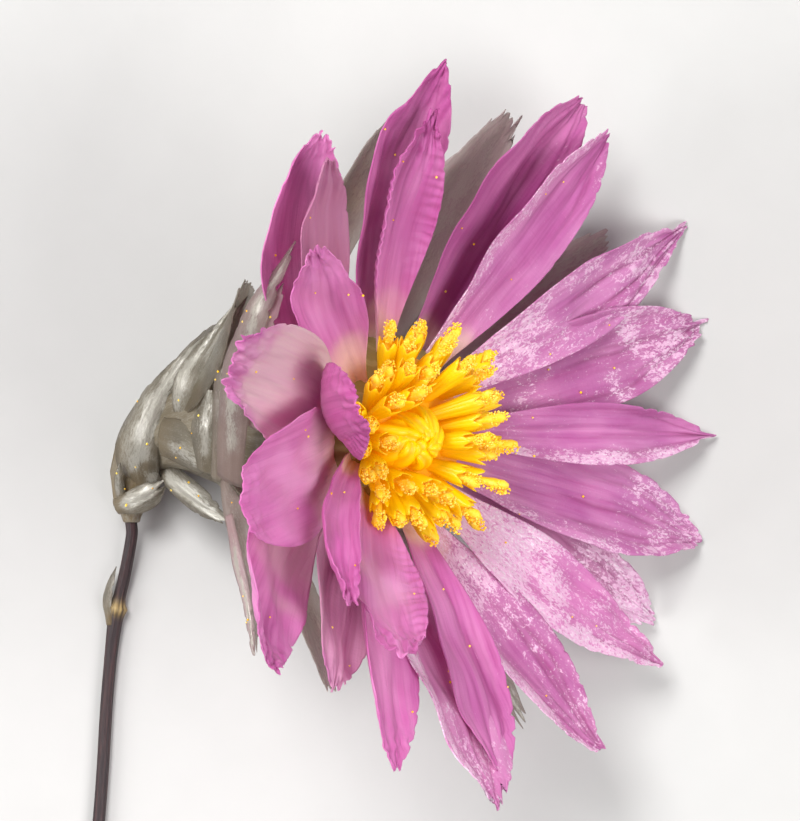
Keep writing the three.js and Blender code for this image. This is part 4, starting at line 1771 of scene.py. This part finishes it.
    def base_ring(self) -> Body:
        """The scarred golden ring where the stem meets the foot, its rim notched.

        Returns:
            The closed body.
        """
        heights, radii = np.array(self.ring).T
        base = SPINE.at(0.0)
        angle = turns(self.RING_SIDES)
        centres = base.place + heights[:, None] * base.axis
        notches = waves(angle, self.RING_NOTCHES, 0.0)
        radius = radii[:, None] * (1 + notches * step(heights, *self.RING_NOTCHED)[:, None])
        low, side = np.broadcast_to(base.low, centres.shape), np.broadcast_to(base.side, centres.shape)
        rings = ring_points(centres, low, side, radius, angle)
        across, own = self.RING_GRAIN
        layers = {"grain": stacked(heights[:, None], angle * across, own),
                  "tint": stacked(1.0, self.RING_BROWN, self.RING_SHINE, np.zeros_like(radius))}
        return tube_body(rings, centres[0], centres[-1], layers)

    def build(self) -> list[Body]:
        """Makes the ring, the funnel, the bracts of the rows, the long ones and the shown ones.

        Returns:
            The shown bracts.
        """
        make_piece("silver_base_ring", [self.base_ring()], SilverPaper(), Node.SILVER)
        make_piece("silver_funnel", [self.funnel_body()], SilverPaper(), Node.SILVER)
        rows = [self.sheet(k, self.fitted(scale), self.row_shine)
                for k, scale in enumerate(self.row_scales()) if k not in self.hidden_by_shown]
        make_piece("silver_row_scales", rows, SilverPaper(), Node.SILVER)
        shown = [self.shown_sheet(k, bract) for k, bract in enumerate(self.shown)]
        make_piece("silver_shown_bracts", shown, SilverPaper(), Node.SILVER)
        long = [self.sheet(self.first_long + k, self.fitted(scale), self.long_shine, scale.blush)
                for k, scale in enumerate(self.scales)]
        make_piece("silver_long_bracts", long, SilverPaper(), Node.SILVER)
        return shown


@dataclass(frozen=True)
class Floret:
    """A floret's foot, the way it points, and its place in the spiral."""

    foot: Array
    along: Array
    share: float
    index: int


@dataclass(frozen=True)
class FloretDisc:
    """The yellow disc: a cushion, closed buds in the middle, open florets round them, pollen."""

    count: int = 56
    bud_share: float = 0.24
    spread: float = 2.95
    shift: tuple[float, float] = (1.9, 0.45)
    lean: float = 66.0
    lean_power: float = 1.6
    top: float = 1.95
    drop: float = 1.15
    cushion: tuple[tuple[float, float], ...] = (
        (0.6, 3.0), (0.75, 3.1), (0.95, 3.0), (1.2, 2.7), (1.5, 2.1), (1.7, 1.5), (1.8, 0.7))
    bud_rise: float = 1.2
    bud_radius: float = 0.56
    tube_length: float = 2.1
    tube_radius: float = 0.31
    lobe_length: float = 0.4
    lobes: int = 5
    sides: int = 30
    grain_radius: float = 0.05
    head_grains: int = 120
    sunk: float = 0.35
    seed: int = 5

    TURN_JITTER = 6
    LEAN_JITTER = 8
    HEADING_JITTER = 12
    RIM_SHIFT = 0.8
    CUSHION_SIDES = 48
    CUSHION_PLEATS = 12
    CUSHION_PLEAT_DEPTH = 0.02
    CUSHION_TINT = (0.1, 0.0, 0.0, 0.0)

    # A bud: its rings, its seams, how its profile swells and closes, and the way it curls.
    BUD_RINGS = 18
    SEAM_DEPTH = 0.24
    SEAM_POWER = 6
    SEAMED = (0.15, 0.5)
    BUD_FOOT = 0.72
    BUD_SWOLLEN = (0.05, 0.5)
    BUD_CLOSING = (0.985, 4, 0.55)
    BUD_SIZES = (0.9, 1.1)
    BUD_RISES = (0.85, 1.15)
    BUD_BEND = 1.9
    BUD_INWARD = 0.9
    BUD_OUTWARD = 0.25
    BUD_REACH_POWER = 1.4
    BUD_SWIRL = 0.4
    BUD_SWIRL_POWER = 1.8
    BUD_SIDEWAYS = 0.3
    BUD_FLATNESS = 0.85
    NUDGE = 0.01
    VALLEY_POWER = 4
    VALLEY_SHADE = 0.7
    BUD_GLOW = (0.0, 0.6)
    END_BULGE = 0.04

    # An open floret: height, lobe and wall from foot to rim and down inside, ring by ring.
    TUBE_LENGTHS = (0.8, 1.15)
    LOBE_POWER = 1.3
    LOBE_NOTCH = 0.2
    WALL_HEIGHTS = (0.0, 0.2, 0.45, 0.7, 0.86, 0.94, 1.0, 1.0, 0.94, 0.86, 0.7, 0.5)
    WALL_LOBES = (0, 0, 0, 0.05, 0.3, 0.65, 1.0, 1.0, 0.65, 0.3, 0.05, 0)
    WALL_DEPTHS = (0, 0, 0, 0, 0, 0, 0.02, 0.05, 0.06, 0.06, 0.06, 0.06)
    TUBE_WIDTHS = ((0, 0.8), (0.4, 1.0), (0.8, 1.3), (1, 1.38))
    SPREADINGS = (-0.12, 0.16)
    RIB_DEPTH = 0.10
    TUBE_GLOW = ((0, 0.0), (0.4, 0.5), (1, 1.0))
    INSIDE_FROM = 0.02
    INSIDE_GLOW = 0.6
    DUSTS = (0.1, 0.6)
    THROAT = 0.45

    # A style: where it starts, its widths along it, how rough it is and how far it leans.
    STYLE_RINGS = 9
    STYLE_SIDES = 10
    STYLE_START = 0.35
    STYLE_WIDTHS = ((0, 0.1), (0.6, 0.13), (0.75, 0.2), (0.93, 0.22), (1.0, 0.1))
    STYLE_ROUGHNESS = 0.16
    STYLE_LEAN = 0.18
    STYLE_GRAIN = 0.2
    STYLE_TINT = 0.6
    STYLE_REACHES = (-0.1, 0.9)

    # The pollen: sizes of the grains, how far they lie from a style's head, and the fallen ones.
    GRAIN_SIZES = (0.7, 1.25)
    GRAIN_RATES = (40, 17)
    SHELL = (0.18, 0.31)
    HEAD_AT = 0.85
    FALLEN_EACH = 3
    FALLEN_ZONE = (0.2, 0.75)
    FALLEN_HEIGHT = 0.06

    def florets(self) -> list[Floret]:
        """The florets by the golden angle, leaning out more towards the rim, each a little askew.

        The spiral's middle is shifted towards the upper left side of the disc, less so for the
        florets near the rim, as the square of their share of the radius grows.

        Returns:
            The florets, from the middle outwards.
        """
        draws = np.random.default_rng(self.seed)
        made = []
        for k in range(self.count):
            share = math.sqrt((k + 0.5) / self.count)
            turn = GOLDEN_ANGLE * k + draws.uniform(-self.TURN_JITTER, self.TURN_JITTER)
            askew = draws.uniform(-self.LEAN_JITTER, self.LEAN_JITTER)
            lean = math.radians(self.lean * share**self.lean_power + askew)
            shift = self.middle() * (1 - self.RIM_SHIFT * share**2)
            flat = HEAD.outward(turn) * self.spread * share + shift
            height = self.top - self.drop * (np.linalg.norm(flat) / self.spread) ** 2
            foot = HEAD.place + flat + HEAD.axis * height
            heading = HEAD.outward(turn + draws.uniform(-self.HEADING_JITTER, self.HEADING_JITTER))
            along = HEAD.axis * math.cos(lean) + heading * math.sin(lean)
            made.append(Floret(foot, along, share, k))
        return made

    def middle(self) -> Array:
        """The spiral's middle, away from the head's axis."""
        return HEAD.outward(180) * self.shift[0] + HEAD.outward(-90) * self.shift[1]

    def bud(self, floret: Floret, draws: np.random.Generator) -> Body:
        """A closed bud: a flattened spindle with five seams that curls over the spiral's middle.

        At a share x of its length, its middle line has risen by a sine of x, has gone inwards by a
        power of x and has swirled sideways by another.

        Args:
            floret: Where it stands.
            draws: Its seeded draws.

        Returns:
            The closed body.
        """
        x = np.linspace(0.0, 1.0, self.BUD_RINGS)
        angle = turns(self.sides)
        seam = np.abs(np.sin(self.lobes * angle / 2))
        seams = 1 - self.SEAM_DEPTH * seam**self.SEAM_POWER * step(x, *self.SEAMED)[:, None]
        share, power, root = self.BUD_CLOSING
        swelling = self.BUD_FOOT + (1 - self.BUD_FOOT) * step(x, *self.BUD_SWOLLEN)
        profile = swelling * (1 - share * x**power) ** root
        radius = self.bud_radius * draws.uniform(*self.BUD_SIZES) * profile[:, None] * seams
        inward = HEAD.place + self.middle() - floret.foot
        inward = inward - HEAD.axis * np.dot(inward, HEAD.axis)
        swirl = np.cross(HEAD.axis, inward)
        rise = self.bud_rise * draws.uniform(*self.BUD_RISES) * np.sin(self.BUD_BEND * x)
        reach = inward * self.BUD_INWARD + floret.along * self.BUD_OUTWARD
        centres = (floret.foot + HEAD.axis * (rise - self.sunk)[:, None]
                   + reach * (x**self.BUD_REACH_POWER)[:, None]
                   + swirl * (self.BUD_SWIRL * x**self.BUD_SWIRL_POWER)[:, None])
        forward = unit(np.gradient(centres, axis=0))
        sideways = HEAD.axis + self.BUD_SIDEWAYS * swirl + self.NUDGE * HEAD.side
        across = unit(np.cross(forward, sideways))
        thick = np.cross(forward, across) * self.BUD_FLATNESS
        rings = ring_points(centres, across, thick, radius, angle)
        # Painted shade: orange at the bud's foot and in its seams, yellow where it is lit.
        glow = step(x, *self.BUD_GLOW)[:, None] * (1 - self.VALLEY_SHADE * seam**self.VALLEY_POWER)
        layers = {"grain": stacked(2 * x[:, None], angle * self.bud_radius, floret.index),
                  "tint": stacked(glow, 0.0, 0.0, 0.0)}
        return tube_body(rings, centres[0], centres[-1] + forward[-1] * self.END_BULGE, layers)

    def open_floret(self, floret: Floret, draws: np.random.Generator) -> Body:
        """An open floret: a ribbed tube whose rim runs out into five pointed lobes.

        The wall runs up outside, over the rim and down inside. Near the rim its height grows by
        the lobe's length times a peaked wave round the turn, and its radius grows with it.

        Args:
            floret: Where it stands.
            draws: Its seeded draws.

        Returns:
            The closed body.
        """
        length = self.tube_length * draws.uniform(*self.TUBE_LENGTHS)
        angle = turns(self.sides)
        peak = np.abs(np.cos(self.lobes * (angle + draws.uniform(0, 1)) / 2)) ** self.LOBE_POWER
        up, lobe, wall = np.array((self.WALL_HEIGHTS, self.WALL_LOBES, self.WALL_DEPTHS))
        wide = self.tube_radius * np.interp(up, *np.array(self.TUBE_WIDTHS).T)
        spreading = draws.uniform(*self.SPREADINGS)
        rim = lobe[:, None] * self.lobe_length * (peak - self.LOBE_NOTCH)
        height = (up * length - self.sunk)[:, None] + rim
        flare = lobe[:, None] * peak * spreading - wall[:, None]
        ribs = 1 + self.RIB_DEPTH * np.cos(self.lobes * 2 * angle) * (1 - lobe[:, None])
        radius = wide[:, None] * ribs + flare
        u, v = across_pair(floret.along)
        centres = np.broadcast_to(floret.foot, (len(up), 3))
        rings = ring_points(centres, np.broadcast_to(u, centres.shape), np.broadcast_to(v, centres.shape),
                            radius, angle) + floret.along * height[..., None]
        # Painted shade: orange at the tube's foot and inside it, yellow towards the rim.
        inside = np.where(wall > self.INSIDE_FROM, self.INSIDE_GLOW, 1.0)
        glow = np.interp(up, *np.array(self.TUBE_GLOW).T)[:, None] * inside[:, None]
        dust = lobe[:, None] * draws.uniform(*self.DUSTS)
        layers = {"grain": stacked(up[:, None] * length, angle * self.tube_radius, floret.index),
                  "tint": stacked(glow, dust, 0.0, np.zeros_like(radius))}
        first = floret.foot - floret.along * self.sunk
        last = floret.foot + floret.along * (self.THROAT * length - self.sunk)
        return tube_body(rings, first, last, layers)

    def style(self, floret: Floret, reach: float, draws: np.random.Generator) -> Body:
        """The pollen-covered rod that stands out of an open floret, with a knobbly head.

        Args:
            floret: The floret that it stands in.
            reach: How far it reaches from the foot.
            draws: Its seeded draws.

        Returns:
            The closed body.
        """
        rise = np.linspace(self.STYLE_START, 1.0, self.STYLE_RINGS)
        radius = np.interp(rise, *np.array(self.STYLE_WIDTHS).T)
        angle = turns(self.STYLE_SIDES)
        rough = 1 + self.STYLE_ROUGHNESS * draws.uniform(-1, 1, (len(rise), len(angle)))
        u, v = across_pair(floret.along)
        lean = unit(u * draws.uniform(-1, 1) + v * draws.uniform(-1, 1)) * self.STYLE_LEAN
        centres = floret.foot + floret.along * (rise * reach)[:, None] + lean * (rise**3)[:, None]
        rings = ring_points(centres, np.broadcast_to(u, centres.shape), np.broadcast_to(v, centres.shape),
                            radius[:, None] * rough, angle)
        layers = {"grain": stacked(rise[:, None] * reach, angle * self.STYLE_GRAIN, floret.index),
                  "tint": stacked(rough - self.STYLE_TINT, 0.0, 0.0, 0.0)}
        return tube_body(rings, centres[0], centres[-1] + floret.along * self.END_BULGE, layers)

    def pollen(self, centres: Array, draws: np.random.Generator) -> Body:
        """Pollen grains: a small twenty-sided ball at each centre, each its own size and turn.

        Args:
            centres: Where the grains lie (count, 3).
            draws: Their seeded draws.

        Returns:
            All grains as one body.
        """
        corners, hull = icosahedron()
        size = self.grain_radius * draws.uniform(*self.GRAIN_SIZES, (len(centres), 1, 1))
        spin = np.linalg.qr(draws.normal(size=(len(centres), 3, 3)))[0]
        spin = spin * np.sign(np.linalg.det(spin))[:, None, None]
        points = centres[:, None, :] + size * np.einsum("nij,kj->nki", spin, corners)
        faces = (hull[None] + len(corners) * np.arange(len(centres))[:, None, None]).reshape(-1, 3)
        own = np.repeat(draws.uniform(0, 1, len(centres)), len(corners))
        along, across = self.GRAIN_RATES
        layers = {"grain": stacked(own * along, own * across, own), "tint": stacked(own, own, own, own)}
        return Body(points.reshape(-1, 3), faces.tolist(), np.ones(len(faces), bool), layers)

    def build(self, sheets: Sequence[Body]) -> None:
        """Makes the cushion, the buds, the open florets, their styles and the pollen.

        Args:
            sheets: The pink bracts, on which some grains have fallen.
        """
        draws = np.random.default_rng(self.seed + 1)
        cushion = turned_body(self.cushion, self.CUSHION_SIDES, self.CUSHION_PLEATS,
                              self.CUSHION_PLEAT_DEPTH, self.CUSHION_TINT)
        make_piece("disc_cushion", [cushion], FloretYellow(), Node.DISC)
        florets = self.florets()
        closed = [f for f in florets if f.share**2 < self.bud_share]
        opened = [f for f in florets if f.share**2 >= self.bud_share]
        buds = [self.bud(f, draws) for f in closed]
        make_piece("disc_buds", buds, FloretYellow(), Node.DISC)
        tubes = [self.open_floret(f, draws) for f in opened]
        make_piece("disc_open_florets", tubes, FloretYellow(), Node.DISC)
        styles, grains = [], []
        for f in opened:
            reach = self.tube_length + draws.uniform(*self.STYLE_REACHES)
            styles.append(self.style(f, reach, draws))
            away = unit(draws.normal(size=(self.head_grains, 3)))
            shell = away * draws.uniform(*self.SHELL, (self.head_grains, 1))
            head = f.foot + f.along * (reach * self.HEAD_AT)
            grains.append(head + shell + f.along * (shell @ f.along)[:, None])
        make_piece("disc_styles", styles, PollenGold(), Node.DISC)
        pollen = self.pollen(np.concatenate(grains), draws)
        make_piece("disc_pollen", [pollen], PollenGold(), Node.DISC)
        fallen = []
        for sheet in sheets:
            face = sheet.points[: len(sheet.points) // 2]
            start, end = (int(len(face) * share) for share in self.FALLEN_ZONE)
            near = face[start:end]
            chosen = near[draws.integers(0, len(near), self.FALLEN_EACH)]
            fallen.append(chosen + np.array([0.0, 0.0, self.FALLEN_HEIGHT]))
        dust = self.pollen(np.concatenate(fallen), draws)
        make_piece("fallen_pollen", [dust], PollenGold(), Node.DISC)


def icosahedron() -> tuple[Array, Array]:
    """The twelve corners of a regular twenty-sided ball of radius one, and its faces.

    The corners are the cyclic orders of (0, +-1, +-golden ratio), and an edge between them is 2
    long. Three corners that all lie an edge apart make a face, which is turned outwards.

    Returns:
        The corners (12, 3) and the faces (20, 3).
    """
    just_over_edge = 2.01
    gold = (1 + math.sqrt(5)) / 2
    corners = np.array([np.roll((0, a, b * gold), k) for a in (-1, 1) for b in (-1, 1) for k in range(3)])
    near = np.linalg.norm(corners[:, None] - corners, axis=-1) < just_over_edge
    faces = []
    for i, j, k in combinations(range(len(corners)), 3):
        if near[i, j] and near[j, k] and near[k, i]:
            a, b, c = corners[i], corners[j], corners[k]
            faces.append((i, j, k) if np.dot(np.cross(b - a, c - a), a) > 0 else (i, k, j))
    return unit(corners), np.array(faces)


@dataclass(frozen=True)
class Stem:
    """The cut stem: a thin stalk with one swollen node that carries one papery scale."""

    route: tuple[tuple[float, float, float], ...] = (
        (-0.65, -2.2, 0.98), (-0.67, -2.75, 0.86), (-0.66, -3.4, 0.74), (-0.98, -5.1, 0.46),
        (-1.38, -6.9, 0.33), (-1.75, -10.3, 0.3), (-2.1, -15.6, 0.3), (-2.9, -24, 0.3),
        (-4.0, -33, 0.3), (-5.0, -42, 0.3))
    radius: float = 0.29
    node_at: float = -6.55
    node_height: float = 0.13
    sides: int = 28
    steps: int = 260
    below_node: float = 0.07
    scale: ShownBract = ShownBract(
        ((-1.71, -7.18, 0.55), (-1.80, -6.34, 0.62), (-1.66, -5.53, 0.60), (-1.40, -4.78, 0.55)),
        (-0.8, 0.0, 1.0), 0.5, 60, Outline(0.9, 0.4, 0.2), 0.5, 0.8, 0.8, 0.15)
    scale_index: int = 99

    GRAIN_LENGTH = 40.0
    NODE_LENGTH = 0.3
    BELOW_LENGTH = 1.6
    WANDER_SEED = 31
    WANDER_PITCH = 5.0
    WANDER_DEPTH = 0.02
    RIDGES = 7
    RIDGE_DEPTH = 0.03
    RIDGE_WANDER = 0.5
    FINE_RIDGES = 17
    FINE_DEPTH = 0.012
    SLIMNESS = 0.94
    CUSHION = 0.05
    GRAIN_OWN = 2.0

    def middle(self) -> Array:
        """The middle line, at even shares of its length.

        Returns:
            Its points (steps, 3).
        """
        fine = curve_through(np.array(self.route))
        run = lengths_along(fine)
        even = np.linspace(0, run[-1], self.steps)
        return np.stack([np.interp(even, run, fine[:, k]) for k in range(3)], -1)

    def build(self) -> None:
        """Makes the stalk and its scale.

        The stalk's radius is waved by ridges round it, swells by a bell curve of the distance from
        the node, and more widely by another below it.
        """
        centres = self.middle()
        tangent = unit(np.gradient(centres, axis=0))
        u = unit(np.cross(np.array([0.0, 0.0, 1.0]), tangent))
        v = np.cross(tangent, u)
        angle = turns(self.sides)
        run = np.arange(self.steps) * self.GRAIN_LENGTH / self.steps
        past = centres[:, 1] - self.node_at
        near = np.exp(-((past / self.NODE_LENGTH) ** 2))
        wander = Ripples(self.WANDER_SEED, self.WANDER_PITCH)(run[:, None], 0.0)
        ridges = waves(angle, ((self.RIDGES, self.RIDGE_DEPTH, self.RIDGE_WANDER * wander),
                               (self.FINE_RIDGES, self.FINE_DEPTH, wander)), 0.0)
        below = np.exp(-((past / self.BELOW_LENGTH) ** 2)) * (centres[:, 1] < self.node_at)
        radius = self.radius * (self.SLIMNESS + ridges + self.WANDER_DEPTH * wander)
        radius = radius + (self.node_height * near + self.below_node * below)[:, None]
        rings = settled(ring_points(centres, u, v, radius, angle), self.CUSHION)
        layers = {"grain": stacked(run[:, None], angle * self.radius, self.GRAIN_OWN),
                  "tint": stacked(near[:, None], 0.0, 0.0, np.zeros_like(radius))}
        stalk = tube_body(rings, centres[0], centres[-1], layers)
        make_piece("stem_stalk", [stalk], StemBark(), Node.STEM)
        scale = SilverFoot().shown_sheet(self.scale_index, self.scale)
        make_piece("stem_scale", [scale], SilverPaper(), Node.STEM)


@dataclass(frozen=True)
class Lamp:
    """A square soft lamp: where it hangs and its side, in millimetres, and its power in watts."""

    name: str
    place: tuple[float, float, float]
    size: float
    power: float

    def build(self, target: tuple[float, float, float]) -> None:
        """Adds the lamp, facing a target.

        Args:
            target: The place that it faces, in millimetres.
        """
        lamp = bpy.data.lights.new(self.name, "AREA")
        lamp.size = self.size * MM
        lamp.energy = self.power
        holder = bpy.data.objects.new(self.name, lamp)
        bpy.context.scene.collection.objects.link(holder)
        holder.location = np.array(self.place) * MM
        away = holder.location - Vector(np.array(target) * MM)
        holder.rotation_euler = away.to_track_quat("Z", "Y").to_euler()


@dataclass(frozen=True)
class Studio:
    """The pale floor, the soft lights and the camera that looks straight down."""

    camera_at: tuple[float, float, float] = (11.30, 2.24, 308.0)
    frame_height: float = 35.7
    frame_distance: float = 300.0
    sensor: float = 36.0
    floor_size: float = 1.6
    room: tuple = linear(205, 206, 210)
    room_light: float = 0.3
    target: tuple[float, float, float] = (10.0, 1.0, 6.0)
    lamps: tuple[Lamp, ...] = (
        Lamp("key", (-90, 150, 290), 130, 1.05),
        Lamp("fill", (200, -80, 240), 180, 0.75),
        Lamp("side", (-220, -70, 150), 140, 0.52),
    )
    nearest: float = 0.01

    def build(self) -> None:
        """Makes the floor, the room's light, the lamps and the camera."""
        half = self.floor_size / 2
        mesh = bpy.data.meshes.new("floor")
        corners = [(-half, -half, 0.0), (half, -half, 0.0), (half, half, 0.0), (-half, half, 0.0)]
        mesh.from_pydata(corners, [], [[0, 1, 2, 3]])
        mesh.materials.append(FloorPaper().material())
        floor = bpy.data.objects.new("floor", mesh)
        bpy.context.scene.collection.objects.link(floor)
        world = bpy.data.worlds.new("room")
        world.use_nodes = True
        background = world.node_tree.nodes["Background"]
        background.inputs["Color"].default_value = self.room
        background.inputs["Strength"].default_value = self.room_light
        bpy.context.scene.world = world
        for lamp in self.lamps:
            lamp.build(self.target)
        lens = bpy.data.cameras.new("camera")
        lens.sensor_width = self.sensor
        lens.lens = self.sensor * self.frame_distance / self.frame_height
        lens.clip_start = self.nearest
        camera = bpy.data.objects.new("camera", lens)
        camera.location = np.array(self.camera_at) * MM
        bpy.context.scene.collection.objects.link(camera)
        bpy.context.scene.camera = camera
        bpy.context.scene.view_settings.view_transform = "Standard"


def main() -> None:
    """Builds the flower from its stem to its disc, and then the studio."""
    logging.basicConfig(level=logging.INFO, format="%(name)s: %(message)s")
    Stem().build()
    silver = SilverFoot().build()
    pink = PinkCrown().build()
    FloretDisc().build(silver + pink)
    Studio().build()


if __name__ == "__main__":
    main()
